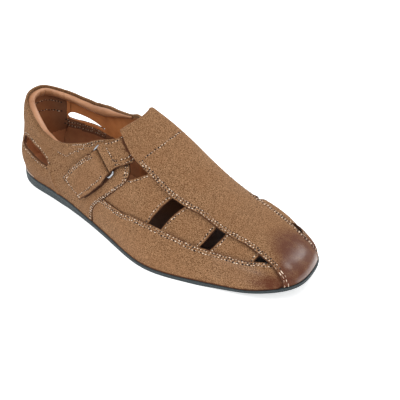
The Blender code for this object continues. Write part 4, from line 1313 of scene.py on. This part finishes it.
def make_quarters(rows_of_stitches):
    """Both quarters as one wall round the heel, lined, with a slot on each side."""
    where, share_of, height_of = quarter_maps()
    columns, (lower, upper) = slot_limits(share_of, height_of)
    slot_ends = sorted(end for pair in columns.values() for end in pair)
    u_shares = spread(QUARTERS_LENGTH, marks=(0.0, *slot_ends, 1.0))
    w_shares = spread(QUARTERS_HEIGHT, marks=(0.0, *SLOT_ROWS, 1.0))
    slot_foot, slot_top = SLOT_ROWS

    def with_slots(u, w):
        low = lower(u)
        high = np.maximum(upper(u), low + SLOT_LEAST)
        beside = low + (high - low) * (w - slot_foot) / (slot_top - slot_foot)
        above = high + (1 - high) * (w - slot_top) / (1 - slot_top)
        return np.where(w > slot_top, above, np.where(w < slot_foot, low * w / slot_foot, beside))

    def slotted(u, w):
        return where(u, with_slots(u, w))

    place = patch(slotted, u_shares, w_shares)
    place.v = with_slots(place.u, place.v)
    sink = sink_of(place.q, place.t)
    outer = at_depth(place, QUARTER_DEPTH[0] + sink + quarter_relief(place))
    heel = 1 - smooth_step(place.x, *HEEL_SEAM_X)
    thick = QUARTER_DEPTH[1] + HEEL_LINING * heel * (1 - smooth_step(place.v, *HEEL_LINING_TOP))
    inner = at_depth(place, thick + sink)
    middle_u = 0.5 * (u_shares[1:] + u_shares[:-1])
    middle_w = 0.5 * (w_shares[1:] + w_shares[:-1])
    rows_cut = (middle_w > slot_foot) & (middle_w < slot_top)
    keep = np.ones((len(middle_u), len(middle_w)), bool)
    for low, high in columns.values():
        keep &= ~(((middle_u > low) & (middle_u < high))[:, None] & rows_cut[None, :])
    steps = np.linalg.norm(np.diff(outer, axis=1), axis=-1)
    to_collar = np.cumsum(steps[:, ::-1], axis=1)[:, ::-1]
    from_top = np.concatenate([to_collar, np.zeros((len(outer), 1))], axis=1)
    # Painted shade along the lower edge and under and beside the straps.
    shaded = np.fmin(hem_shade(place, outer), strap_shade(place))
    shaded = np.where(from_top < COLLAR_TURN, EDGE_ROWS[-1], shaded)
    linings = (LINING, HEEL_SUEDE, FOOTBED)
    kinds = quarter_kinds(place, from_top)
    made = sheet("quarters", outer, inner, NUBUCK, linings, kinds, keep, COLLAR_ROUND, DOUBLE_ROW, shaded)
    for edge in ("u0", "u1"):
        for inset in DOUBLE_ROW:
            rows_of_stitches.append(inset_row(made, edge, inset, *FRONT_ROW_ENDS))
    add_seam_rows(made, place, w_shares, u_shares, columns, rows_of_stitches)
    lateral_x = place.x[:len(u_shares) // 2, -1]
    ends = [float(np.argmin(np.abs(lateral_x - x))) / (len(u_shares) - 1) for x in COLLAR_ROW_X]
    rows_of_stitches.append(inset_row(made, "v1", SINGLE_ROW[0], *ends))
    return made


def quarter_kinds(place, from_top):
    """Lining of each cell of the quarters: smooth, heel suede, footbed leather, or the turned-in finish."""
    middle_v = 0.5 * (place.v[1:, 1:] + place.v[:-1, :-1])
    middle_x = 0.5 * (place.x[1:, 1:] + place.x[:-1, :-1])
    kinds = np.where((middle_x < HEEL_SEAM_X[1]) | (middle_v < SLOT_BAND), 1, 0)
    kinds[middle_v < np.interp(middle_x, CUP_X, CUP_TOP)] = 2
    kinds[from_top[1:, :-1] < COLLAR_TURN] = -1
    return kinds


def add_seam_rows(made, place, w_shares, u_shares, columns, rows_of_stitches):
    """Stitches of the collar seam, of each slot's edges and lining, and of the heel's lining."""
    half = len(u_shares) // 2
    for part in (slice(0, half), slice(half, None)):
        x = place.x[part].mean(axis=1)
        inside = np.flatnonzero((x > SEAM_LINE["x"][0]) & (x < SEAM_LINE["x"][-1] - COLLAR_SEAM_CUT))
        places = inside + (part.start or 0)
        nearest = [int(np.argmin(np.abs(place.t[i] - SEAM_T(place.x[i])))) for i in places]
        rows_of_stitches.append((made.outer[places, nearest], made.normal[places, nearest]))
    for low, high in columns.values():
        start, stop = low - SLOT_STITCH_REACH[0], high + SLOT_STITCH_REACH[1]
        inside = np.flatnonzero((u_shares > start) & (u_shares < stop))
        for share in (SLOT_ROWS[0] - SLOT_STITCH_GAP, SLOT_ROWS[1] + SLOT_STITCH_GAP):
            j = int(np.argmin(np.abs(w_shares - share)))
            rows_of_stitches.append((made.outer[inside, j], made.normal[inside, j]))
        for share in LINING_ROWS:
            j = int(np.argmin(np.abs(w_shares - share)))
            rows_of_stitches.append((made.inner[inside, j], -made.normal[inside, j]))
    heel = np.flatnonzero(np.abs(place.q[:, -1]) < HEEL_ROWS_REACH)
    for share in HEEL_ROWS:
        j = int(np.argmin(np.abs(place.v[heel[0]] - share)))
        rows_of_stitches.append((made.inner[heel, j], -made.normal[heel, j]))


def make_collar_roll(quarters):
    """Padded tan roll along the inside of the collar, thinning out towards the straps."""
    edge = quarters.outer[:, -1]
    outward = quarters.normal[:, -1]
    upward = unit(edge - quarters.outer[:, -ROLL_SLOPE_ROWS])
    x = edge[:, 0]
    lateral = np.arange(len(x)) < int(np.argmin(x))
    to_medial = np.where(lateral, 0, 1) * smooth_step(x, *ROLL_MEDIAL_X)

    def by_side(values):
        return np.where(lateral, values["lateral"], values["medial"])

    def blended(values):
        return values["lateral"] + (values["medial"] - values["lateral"]) * to_medial

    thin = by_side({side: smooth_step(x, *ends) for side, ends in ROLL_THIN_X.items()})
    keep = x < np.where(lateral, ROLL_TAIL_X[1], ROLL_THIN_X["medial"][1])
    size = 1 - (1 - by_side(ROLL_THIN)) * thin
    size = size * (1 - np.where(lateral, ROLL_TAIL, 0) * smooth_step(x, *ROLL_TAIL_X))
    drop = np.where(lateral, ROLL_DROP, 0) * thin
    half_width = blended(ROLL_HALF_WIDTH) * size
    half_height = blended(ROLL_HALF_HEIGHT) * size
    along = lengths_along(edge)
    short, long = ROLL_WRINKLE_LENGTHS
    waves = np.clip(np.sin(along / short + ROLL_WRINKLE_SWAY * np.sin(along / long)), 0, 1) ** 3
    wrinkle = -ROLL_WRINKLES * waves * (1 - smooth_step(x, *ROLL_WRINKLE_X))
    angles = circle(ROLL_SIDES)
    inner_side = np.clip(-np.cos(angles), 0, 1)
    rings = []
    for i in np.flatnonzero(keep):
        centre = edge[i] - outward[i] * (QUARTER_DEPTH[1] + ROLL_WALL_GAP + half_width[i])
        centre = centre - upward[i] * (half_height[i] + ROLL_TOP_GAP + drop[i])
        swell = 1 + wrinkle[i] * inner_side
        ring = centre + outward[i] * (half_width[i] * np.cos(angles) * swell)[:, None]
        rings.append(ring + upward[i] * (half_height[i] * np.sin(angles))[:, None])
    return tube("collar_roll", np.array(rings), ROLL_LEATHER)


def tube(name, rings, finish, closed=False):
    """Closed surface through rings of points, with capped ends unless it runs round."""
    count, sides = rings.shape[:2]
    following = [(k + 1) % sides for k in range(sides)]
    faces = []
    for i in range(count if closed else count - 1):
        j = (i + 1) % count
        for k, m in enumerate(following):
            faces.append((i * sides + k, i * sides + m, j * sides + m, j * sides + k))
    vertices = rings.reshape(-1, 3)
    if not closed:
        vertices = np.concatenate([vertices, rings[0].mean(0)[None], rings[-1].mean(0)[None]])
        for k, m in enumerate(following):
            faces.append((m, k, count * sides))
            faces.append(((count - 1) * sides + k, (count - 1) * sides + m, count * sides + 1))
    marks = {"edge": np.full(len(vertices), EDGE_ROWS[-1])}
    return new_object(name, vertices, faces, [finish], marks=marks)


def make_heel_lip():
    """Thin pale lip of the sole's edge cord round the back of the heel, thinning out at both ends."""
    q = np.linspace(station(LIP_X[0], "medial"), station(LIP_X[1], "lateral"), LIP_STEPS)
    edge = outline_point(q)
    outward = np.concatenate([unit(edge - spine(edge[:, 0])), np.zeros((len(q), 1))], axis=1)
    level = LAST["feather_z"](edge[:, :1]) - HEM_DROP(edge[:, :1]) + LIP_RISE
    middle = np.concatenate([edge, level], axis=1) + outward * LIP_OUT
    size = LIP_RADIUS * np.sqrt(np.clip(1 - np.abs(np.linspace(-1, 1, len(q))) ** 3, LIP_END_SIZE, 1))
    angles = circle(LIP_SIDES)[:, None]
    ring = np.cos(angles) * outward[:, None] + np.sin(angles) * np.array([0.0, 0.0, 1.0])
    return tube("heel_lip", middle[:, None] + ring * size[:, None, None], CORD)


def band_patch(table, place):
    """Map of a strap between its rear and front edges, which a table gives in two values each."""
    rows = np.arange(len(table))
    curves = [smooth_curve(rows, column) for column in zip(*table)]

    def where(u, v):
        row = u * (len(table) - 1)
        rear_first, rear_second, front_first, front_second = [curve(row) for curve in curves]
        first = rear_first + (front_first - rear_first) * v
        second = rear_second + (front_second - rear_second) * v
        return place(first, second)

    return where


def instep_places():
    """Map of the instep strap."""
    return band_patch(STRAP, lambda x, y: place_in_plan(x, y)[:2])


def closure_places():
    """Map of the closure strap."""
    return band_patch(CLOSURE, lambda x, t: (station(x, "lateral"), t))


def strap_end(where, u):
    """Middle of the ring's bar at a strap's folded end, and the bar's direction."""
    near = np.abs(u - RING_END_STEP * np.arange(3))
    end = patch(where, near, np.array([0.0, 0.5, 1.0]))
    along = unit(end.points[0, 2] - end.points[0, 0])
    normal = end.normal[0, 1]
    outward = unit(normal - along * np.dot(normal, along))
    return end.points[0, 1] + outward * (BAR_RISE - sink_of(end.q, end.t)[0, 1]), along


def ring_frame():
    """Middle of the ring, and the directions along its bars, across them to the instep, and outwards."""
    front, front_along = strap_end(instep_places(), 1.0)
    rear, rear_along = strap_end(closure_places(), 0.0)
    along = unit(front_along + rear_along)
    across = front - rear
    across = unit(across - along * np.dot(across, along))
    outward = np.cross(along, across)
    outward = outward * np.sign(np.dot(outward, RING_FACES))
    return SimpleNamespace(middle=0.5 * (front + rear), along=along, across=across, outward=outward)


def strap_heights(foot, reach):
    """Heights of a strap's outer and inner faces over the distance from its bar, rising to the ring."""

    def inner(s):
        return foot(s) + (BAR_RISE + RING_WIRE + FIT_GAP - foot(0.0)) * (1 - smooth_step(s, *reach))

    def outer(s):
        return inner(s) + FOLD_LEATHER + (STRAP_LEATHER - FOLD_LEATHER) * smooth_step(s, *reach)

    return outer, inner


def folded_band(name, where, to_share, ring, side, length, heights, under, lift=0.0, shade=None):
    """Strap that lies on the quarters, rises to its bar of the ring, is folded round it and runs back below.

    Heights gives its outer and inner faces, and under the lower run's length and share of the width.
    """
    bar = ring.middle + ring.across * side * RING_HALF_WIDTH
    towards = -ring.across * side
    bore = RING_WIRE + FIT_GAP
    shares = spread(BAND_WIDTH)
    body = length * spread(length, marks=(1.0,))[::-1]
    below = np.linspace(0, under[0], int(under[0] / SPACING))[1:]

    def lying(distance, height, widths, lift):
        place = patch(where, to_share(distance), widths)
        lifted = lift * smooth_step(distance, *TAB_LIFT_REACH)[:, None] * place.v ** 2
        on_shoe = at_depth(place, sink_of(place.q, place.t) - (height(distance)[:, None] + lifted))
        offset = (widths - 0.5) * BAND_WIDTH
        straight = bar - towards * distance[:, None, None] + ring.along * offset[None, :, None]
        straight = straight + ring.outward * (height(distance) - BAR_RISE)[:, None, None]
        at_bar = (1 - smooth_step(distance, *BAR_REACH))[:, None, None]
        return on_shoe + (straight - on_shoe) * at_bar

    turns = np.linspace(0, np.pi, FOLD_STEPS)[1:-1]
    arc = np.cos(turns)[:, None] * ring.outward + np.sin(turns)[:, None] * towards
    offset = ring.along * ((shares - 0.5) * BAND_WIDTH)[None, :, None]
    narrow = 0.5 + (shares - 0.5) * under[1]
    skins = []
    for height, radius in zip(heights, (bore + FOLD_LEATHER, bore)):
        fold = bar + radius * arc[:, None, :] + offset
        run_below = lying(below, lambda s: np.full(s.shape, BAR_RISE - radius), narrow, 0.0)
        skins.append(np.concatenate([lying(body, height, shares, lift), fold, run_below]))
    # The lower runs under the folds are painted in the dark edge tone, as painted shade in the gap under the
    # strap.
    shaded = np.full(skins[0].shape[:2], np.nan)
    shaded[len(body) + len(turns):] = 0.0
    if shade is not None:
        shaded[:len(body)] = shade(patch(where, to_share(body), shares))
    made = sheet(name, *skins, NUBUCK, seams=SINGLE_ROW, shaded=shaded)
    made.outer = made.outer[:len(body)]
    made.normal = made.normal[:len(body)]
    made.distance = body
    return made


def row_share(made, distance):
    """Share of a folded band's rows at a distance from its bar."""
    return float(np.argmin(np.abs(made.distance - distance))) / (len(made.distance) - 1)


def make_strap(ring, rows_of_stitches):
    """Instep strap from the medial quarter through the loop to the ring."""

    def foot(s):
        return STRAP_GAP + (TAB_GAP - STRAP_GAP - STRAP_CLEAR) * (1 - smooth_step(s, *STRAP_LEVEL))

    def share(distance):
        return 1 - distance / STRAP_LENGTH

    def loop_shade(place):
        loop_edge = [STRIP_EDGES[name][:SHADE_LOOP_ROWS] for name in ("lateral_x", "lateral_t")]
        edge_t = smooth_curve(*loop_edge)(place.x)
        near = smooth_step(place.t, edge_t - SHADOW_REACH, edge_t) * (place.points[..., 1] < 0)
        return np.where(near > 0, SHADOW_EDGE * (1 - near), np.nan)

    made = folded_band("instep_strap", instep_places(), share, ring, 1, STRAP_LENGTH,
                       strap_heights(foot, STRAP_RISE), STRAP_UNDER, shade=loop_shade)
    shown = [row_share(made, distance) for distance in STRAP_SHOWN]
    for edge in ("v0", "v1"):
        rows_of_stitches.append(inset_row(made, edge, SINGLE_ROW[0], *STRAP_SEWN_ENDS))
        rows_of_stitches.append(inset_row(made, edge, SINGLE_ROW[0], *shown))
    rows_of_stitches.append(inset_row(made, "v1", BOX_ROW, *shown))
    rows_of_stitches.append(inset_row(made, "u0", SINGLE_ROW[0], *END_ROW_ENDS))
    across = int(round(shown[1] * (len(made.distance) - 1)))
    inside = slice(STRAP_CROSS_TRIM, -STRAP_CROSS_TRIM)
    rows_of_stitches.append((made.outer[across, inside], made.normal[across, inside]))
    return made.obj


def make_tab(ring, rows_of_stitches):
    """Closure strap: the tab on top, folded round the ring, and its lower run with the hook tape."""

    def share(distance):
        return distance / TAB_LENGTH

    made = folded_band("closure_tab", closure_places(), share, ring, -1, TAB_LENGTH,
                       strap_heights(lambda s: TAB_GAP, TAB_RISE), TAB_UNDER, TAB_LIFT)
    near_ring = row_share(made, TAB_ROW_STOP)
    for edge, inset in (("v0", DOUBLE_ROW[0]), ("v0", DOUBLE_ROW[1]), ("v1", TAB_ROW)):
        rows_of_stitches.append(inset_row(made, edge, inset, TAB_ROW_START, near_ring))
    rows_of_stitches.append(inset_row(made, "u0", SINGLE_ROW[0], *END_ROW_ENDS))
    tape = patch(closure_places(), np.linspace(*HOOK_ALONG), np.linspace(*HOOK_ACROSS))
    lift = TAB_LIFT * smooth_step(tape.u * TAB_LENGTH, *TAB_LIFT_REACH) * tape.v ** 2
    outer, inner = at_depth(tape, HOOK_GAP - TAB_GAP - lift), at_depth(tape, -HOOK_FOOT)
    return made.obj, sheet("hook_tape_and_shade", outer, inner, HOOKS, radius=HOOK_ROUND).obj


def make_ring(ring):
    """Rectangular wire ring through the two folded ends."""
    path, sideways = [], []
    for turn, (side_along, side_across) in enumerate(((1, 1), (1, -1), (-1, -1), (-1, 1))):
        centre = ring.along * side_along * (RING_HALF_LENGTH - RING_CORNER)
        centre = centre + ring.across * side_across * (RING_HALF_WIDTH - RING_CORNER)
        for step in range(RING_CORNER_STEPS + 1):
            angle = (turn + step / RING_CORNER_STEPS) * np.pi / 2
            bend = ring.across * np.cos(angle) + ring.along * np.sin(angle)
            path.append(ring.middle + centre + RING_CORNER * bend)
            sideways.append(bend)
    angles = circle(RING_SIDES)[:, None]
    round_wire = np.cos(angles) * np.array(sideways)[:, None] + np.sin(angles) * ring.outward
    return tube("ring_wire", np.array(path)[:, None] + RING_WIRE * round_wire, RING_METAL, closed=True)


def rung_places(extra=()):
    """X of the rungs across the shoe, close together at heel and toe."""
    low, high = OUTLINE_CURVE[:, 0].min(), OUTLINE_CURVE[:, 0].max()
    even = 0.5 - 0.5 * np.cos(np.linspace(0, np.pi, SOLE_RUNGS))
    places = low + (high - low) * even
    return np.unique(np.concatenate([places, np.asarray(extra, float)]).round(4))


def inset_outline(q, inset):
    """Plan points at a distance inside the outline."""
    edge = outline_point(q)
    middle = spine(edge[..., 0])
    reach = np.linalg.norm(edge - middle, axis=-1, keepdims=True)
    return middle + (edge - middle) * (1 - inset / reach)


def groove_walls():
    """X of each tread groove's middle, and the x of the rungs at its walls."""
    middles = np.concatenate([np.arange(start, end, GROOVE_PITCH) for start, end in GROOVE_RUNS])
    half = GROOVE_WIDTH / 2
    steps = [-half - GROOVE_WALL, -half, half, half + GROOVE_WALL]
    return middles, np.concatenate([middles + step for step in steps])


def sole_bottom(plan):
    """Height of the sole's lower face, whose arch is lower on the lateral side of the waist."""
    x, y = plan[:, 0], plan[:, 1]
    waist = smooth_step(x, *WAIST_X[0]) * (1 - smooth_step(x, *WAIST_X[1]))
    return LAST["sole_z"](x) * (1 - (1 - LATERAL_ARCH) * waist * smooth_step(-y, *LATERAL_ARCH_Y))


def tread_depth(cap, middles, shares, widths):
    """Rise of the sole's lower face in the tread grooves, inside a plain border."""
    nearest = np.abs(cap[..., 0][..., None] - middles).min(axis=-1)
    in_groove = 1 - np.clip((nearest - GROOVE_WIDTH / 2) / GROOVE_WALL, 0, 1)
    from_side = np.minimum(shares, 1 - shares)[None, :] * widths
    return GROOVE_DEPTH * (in_groove * np.clip((from_side - GROOVE_BORDER) / GROOVE_RAMP, 0, 1))


def make_outsole():
    """Rubber sole unit: ribbed side, arch, toe spring, and a tread of grooves inside a plain border."""
    middles, walls = groove_walls()
    x = rung_places(walls)
    lateral, medial = station(x, "lateral"), station(x, "medial")
    round_shoe = np.concatenate([lateral, medial[-2:0:-1]])
    rings = []
    for share, inset in SOLE_SIDE:
        plan = inset_outline(round_shoe, inset)
        flange = LAST["feather_z"](plan[:, 0]) - HEM_DROP(plan[:, 0]) - SOLE_TOP_GAP
        height = sole_bottom(plan) + (flange - sole_bottom(plan)) * share
        rings.append(np.concatenate([plan, height[:, None]], axis=1))
    plan = inset_outline(round_shoe, SOLE_TOP_INSET)
    rings.append(np.concatenate([plan, LAST["feather_z"](plan[:, :1]) - SOLE_TOP_UNDER], axis=1))
    count = len(round_shoe)
    vertices = [point for ring in rings for point in ring]
    faces = []
    for row in range(len(rings) - 1):
        for i in range(count):
            j = (i + 1) % count
            faces.append((row * count + i, row * count + j, (row + 1) * count + j, (row + 1) * count + i))
    shares = np.linspace(0, 1, SOLE_ACROSS + 1)
    last = len(x) - 1
    for ring in (rings[0], rings[-1]):
        near, far = ring[:len(x)], np.concatenate([ring[:1], ring[:last:-1], ring[last:len(x)]])
        cap = near[:, None] + (far - near)[:, None] * shares[None, :, None]
        if ring is rings[0]:
            cap[..., 2] = cap[..., 2] + tread_depth(cap, middles, shares, np.abs(far - near)[:, 1:2])
        first = len(vertices)
        vertices += list(cap.reshape(-1, 3))
        for i in range(last):
            for k in range(SOLE_ACROSS):
                corner = first + i * (SOLE_ACROSS + 1) + k
                faces.append((corner, corner + 1, corner + SOLE_ACROSS + 2, corner + SOLE_ACROSS + 1))
    return new_object("rubber_sole", np.array(vertices), faces, [RUBBER])


def make_footbed():
    """Leather footbed, cupped round its edge, with the groove of a seam along it."""
    x = rung_places()[FOOTBED_END_RUNGS:-FOOTBED_END_RUNGS]
    low, high = [inset_outline(station(x, side), FOOTBED_INSET) for side in ("lateral", "medial")]
    shares = spread(FOOTBED_WIDTH)
    plan = low[:, None] + (high - low)[:, None] * shares[None, :, None]
    foot = LAST["feather_z"](plan[..., 0])
    cup = FOOTBED_CUP * np.abs(2 * shares - 1) ** 3 * (1 - smooth_step(plan[..., 0], *FOOTBED_CUP_X))
    outer = np.concatenate([plan, (foot + FOOTBED_HEIGHT[1] + cup)[..., None]], axis=-1)
    inner = np.concatenate([plan, (foot + FOOTBED_HEIGHT[0])[..., None]], axis=-1)
    return sheet("footbed", outer, inner, FOOTBED, radius=FOOTBED_ROUND, seams=(FOOTBED_SEAM,)).obj


def stitch_tree():
    """Node tree that puts one thread or needle hole on each point of its input."""
    tree = bpy.data.node_groups.new("stitches", "GeometryNodeTree")
    inputs = {"Geometry": "Geometry", "Length": "Float", "Width": "Float", "Height": "Float",
              "Turn": "Float", "Seed": "Int", "Material": "Material"}
    for name, kind in inputs.items():
        tree.interface.new_socket(name, in_out="INPUT", socket_type="NodeSocket" + kind)
    tree.interface.new_socket("Geometry", in_out="OUTPUT", socket_type="NodeSocketGeometry")
    start = add_node(tree, "NodeGroupInput").outputs
    sides = {"Segments": STITCH_SIDES[0], "Rings": STITCH_SIDES[1], "Radius": 0.5}
    bead = add_node(tree, "GeometryNodeMeshUVSphere", sides).outputs["Mesh"]
    sizes = {"X": start["Length"], "Y": start["Width"], "Z": start["Height"]}
    size = add_node(tree, "ShaderNodeCombineXYZ", sizes).outputs[0]
    shaped = add_node(tree, "GeometryNodeTransform", {"Geometry": bead, "Scale": size}).outputs[0]
    up, way = [add_node(tree, "GeometryNodeInputNamedAttribute", {"Name": name},
                        data_type="FLOAT_VECTOR").outputs[0] for name in ("stitch_up", "stitch_way")]
    stand = add_node(tree, "FunctionNodeAlignRotationToVector", {"Vector": up}, axis="Z").outputs[0]
    lie = add_node(tree, "FunctionNodeAlignRotationToVector", {"Rotation": stand, "Vector": way},
                   axis="X", pivot_axis="Z").outputs[0]
    back = calculate(tree, "MULTIPLY", start["Turn"], -1.0)
    chance = {2: back, 3: start["Turn"], "Seed": start["Seed"]}
    angle = add_node(tree, "FunctionNodeRandomValue", chance, data_type="FLOAT").outputs[1]
    euler = add_node(tree, "ShaderNodeCombineXYZ", {"Z": angle}).outputs[0]
    turning = {"Rotation": lie, 1: euler}
    turned = add_node(tree, "FunctionNodeRotateRotation", turning, rotation_space="LOCAL").outputs[0]
    chance = {2: STITCH_SIZES[0], 3: STITCH_SIZES[1], "Seed": start["Seed"]}
    scale = add_node(tree, "FunctionNodeRandomValue", chance, data_type="FLOAT").outputs[1]
    placing = {"Points": start["Geometry"], "Instance": shaped, "Rotation": turned, "Scale": scale}
    placed = add_node(tree, "GeometryNodeInstanceOnPoints", placing).outputs[0]
    real = add_node(tree, "GeometryNodeRealizeInstances", {0: placed}).outputs[0]
    smooth = add_node(tree, "GeometryNodeSetShadeSmooth", {0: real}).outputs[0]
    finish = {"Geometry": smooth, "Material": start["Material"]}
    finished = add_node(tree, "GeometryNodeSetMaterial", finish).outputs[0]
    feed(tree, add_node(tree, "NodeGroupOutput"), Geometry=finished)
    return tree


def row_places(points, normals, holes, pitch):
    """Evenly spaced places along a row: the stitches' middles, or the needle holes between them."""
    along = lengths_along(points)
    count = max(1, int(round(along[-1] / pitch)))
    pitch = along[-1] / count
    at = np.arange(count + 1) * pitch if holes else (np.arange(count) + 0.5) * pitch
    place = between(at, along, points)
    up = unit(between(at, along, normals))
    way = unit(between(at + STITCH_WAY_REACH, along, points) - between(at - STITCH_WAY_REACH, along, points))
    shift = CHANCE.normal(0, STITCH_DISORDER, (len(at), 2))
    place = place + way * shift[:, :1] + np.cross(up, way) * shift[:, 1:]
    return place, up, way


def make_stitches(name, rows, size, finish, seed, pitch=PITCH, holes=False):
    """All threads or all needle holes of one kind, as one plain mesh."""
    places = [row_places(points, normals, holes, pitch) for points, normals in rows]
    place, up, way = [np.concatenate([row[k] for row in places]) for k in range(3)]
    lift, turn = (0.0, 0.0) if holes else (STITCH_LIFT, STITCH_TURN)
    mesh = bpy.data.meshes.new(name + "_rows")
    mesh.from_pydata(to_part(place + up * lift).tolist(), [], [])
    for key, vectors in (("stitch_up", up), ("stitch_way", way)):
        marks = mesh.attributes.new(key, "FLOAT_VECTOR", "POINT")
        marks.data.foreach_set("vector", vectors.astype(np.float32).ravel())
    rows_object = show(bpy.data.objects.new(name + "_rows", mesh))
    modifier = rows_object.modifiers.new("stitches", "NODES")
    modifier.node_group = STITCH_TREE
    values = dict(zip(("Length", "Width", "Height"), [part * MM for part in size]))
    values.update(Turn=turn, Seed=seed, Material=finish)
    for item in STITCH_TREE.interface.items_tree:
        if item.in_out == "INPUT" and item.name in values:
            modifier[item.identifier] = values[item.name]
    evaluated = rows_object.evaluated_get(bpy.context.evaluated_depsgraph_get())
    obj = show(bpy.data.objects.new(name, bpy.data.meshes.new_from_object(evaluated)))
    bpy.data.objects.remove(rows_object)
    return obj


def set_axes(obj, side, up, away, place):
    """Put an object at a place with its three axes along three directions."""
    matrix = np.eye(4)
    matrix[:3] = np.stack([side, up, away, place], axis=1)
    obj.matrix_world = Matrix(matrix.tolist())


def make_camera():
    """Camera at the photograph's angle, with a place on the sole at its pixel."""
    a, e = np.radians(CAMERA_AZIMUTH), np.radians(CAMERA_ELEVATION)
    back = np.array([np.sin(a) * np.cos(e), -np.cos(a) * np.cos(e), np.sin(e)])
    right = np.array([np.cos(a), np.sin(a), 0.0])
    up = np.cross(back, right)
    middle = IMAGE_PIXELS / 2
    scale = CAMERA_DISTANCE / FOCAL_PIXELS
    place = to_part(TARGET) + back * CAMERA_DISTANCE
    place = place - right * (TARGET_PIXEL[0] - middle) * scale - up * (middle - TARGET_PIXEL[1]) * scale
    lens = bpy.data.cameras.new("photo camera")
    lens.sensor_width = SENSOR
    lens.lens = SENSOR * FOCAL_PIXELS / IMAGE_PIXELS
    camera = show(bpy.data.objects.new("photo camera", lens))
    set_axes(camera, right, up, back, place)
    bpy.context.scene.camera = camera


def area_light(name, place, size, power):
    """Soft rectangular light that faces the shoe."""
    light = bpy.data.lights.new(name, "AREA")
    light.shape = "RECTANGLE"
    light.size, light.size_y = size
    light.energy = power
    away = unit(np.array(place) - np.array(LIGHT_TARGET))
    side = unit(np.cross([0.0, 0.0, 1.0], away))
    set_axes(show(bpy.data.objects.new(name, light)), side, np.cross(away, side), away, place)


def make_stage():
    """Pale floor, soft light from all round and the soft lights."""
    bpy.ops.mesh.primitive_plane_add(size=FLOOR_SIZE)
    floor = bpy.context.object
    floor.name = "floor"
    glow = {"Emission_Color": WHITE, "Emission_Strength": FLOOR_GLOW}
    made, tree, shader = new_material("pale_floor", Roughness=0.9, Specular_IOR_Level=0.1, **glow)
    feed(tree, shader, Base_Color=two_tones(tree, noise(tree, 3.0), 0.3, 0.7, FLOOR_TONES))
    floor.data.materials.append(made)
    world = bpy.data.worlds.new("soft studio")
    world.use_nodes = True
    background = world.node_tree.nodes["Background"]
    background.inputs["Color"].default_value = WHITE
    background.inputs["Strength"].default_value = WORLD_STRENGTH
    bpy.context.scene.world = world
    for light in LIGHTS:
        area_light(*light)
    bpy.context.scene.view_settings.view_transform = "Standard"


NUBUCK = nubuck_material()
LINING, HEEL_SUEDE, VAMP_LINING, ROLL_LEATHER, FOOTBED, CORD = [smooth_leather(*row) for row in LEATHERS]
RUBBER = rubber_material()
THREAD = thread_material()
NEEDLE = needle_hole_material()
RING_METAL = ring_material()
HOOKS = hook_material()
STITCH_TREE = stitch_tree()
CHANCE = np.random.default_rng(PLACE_SEED)

make_camera()
make_stage()
stitch_rows = []
long_rows = []
quarters = make_quarters(stitch_rows)
upper_pieces = [make_strip(stitch_rows, long_rows), quarters.obj]
upper_pieces += [make_guard(side, stitch_rows) for side in ("lateral", "medial")]
upper_pieces += [make_panel(number, row, stitch_rows) for number, row in enumerate(PANELS)]
collar_roll = make_collar_roll(quarters)
heel_lip = make_heel_lip()
ring = ring_frame()
instep_strap = make_strap(ring, stitch_rows)
closure_tab, hook_tape_and_shade = make_tab(ring, stitch_rows)
ring_wire = make_ring(ring)
rubber_sole = make_outsole()
footbed = make_footbed()
threads = make_stitches("threads", stitch_rows, STITCH, THREAD, seed=3)
long_threads = make_stitches("long_threads", long_rows, LONG_STITCH, THREAD, seed=7, pitch=LONG_PITCH)
needle_holes = make_stitches("needle_holes", stitch_rows, NEEDLE_HOLE, NEEDLE, seed=5, holes=True)

for piece in upper_pieces + [collar_roll, instep_strap, closure_tab, hook_tape_and_shade, ring_wire, rubber_sole,
                             footbed, threads, long_threads, needle_holes, heel_lip]:
    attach(piece, "root")
for piece in upper_pieces:
    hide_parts("upper")
for piece, node in ((instep_strap, "strap"), (closure_tab, "closure_strap"), (ring_wire, "ring"),
                    (rubber_sole, "outsole"), (footbed, "insole")):
    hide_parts(node)
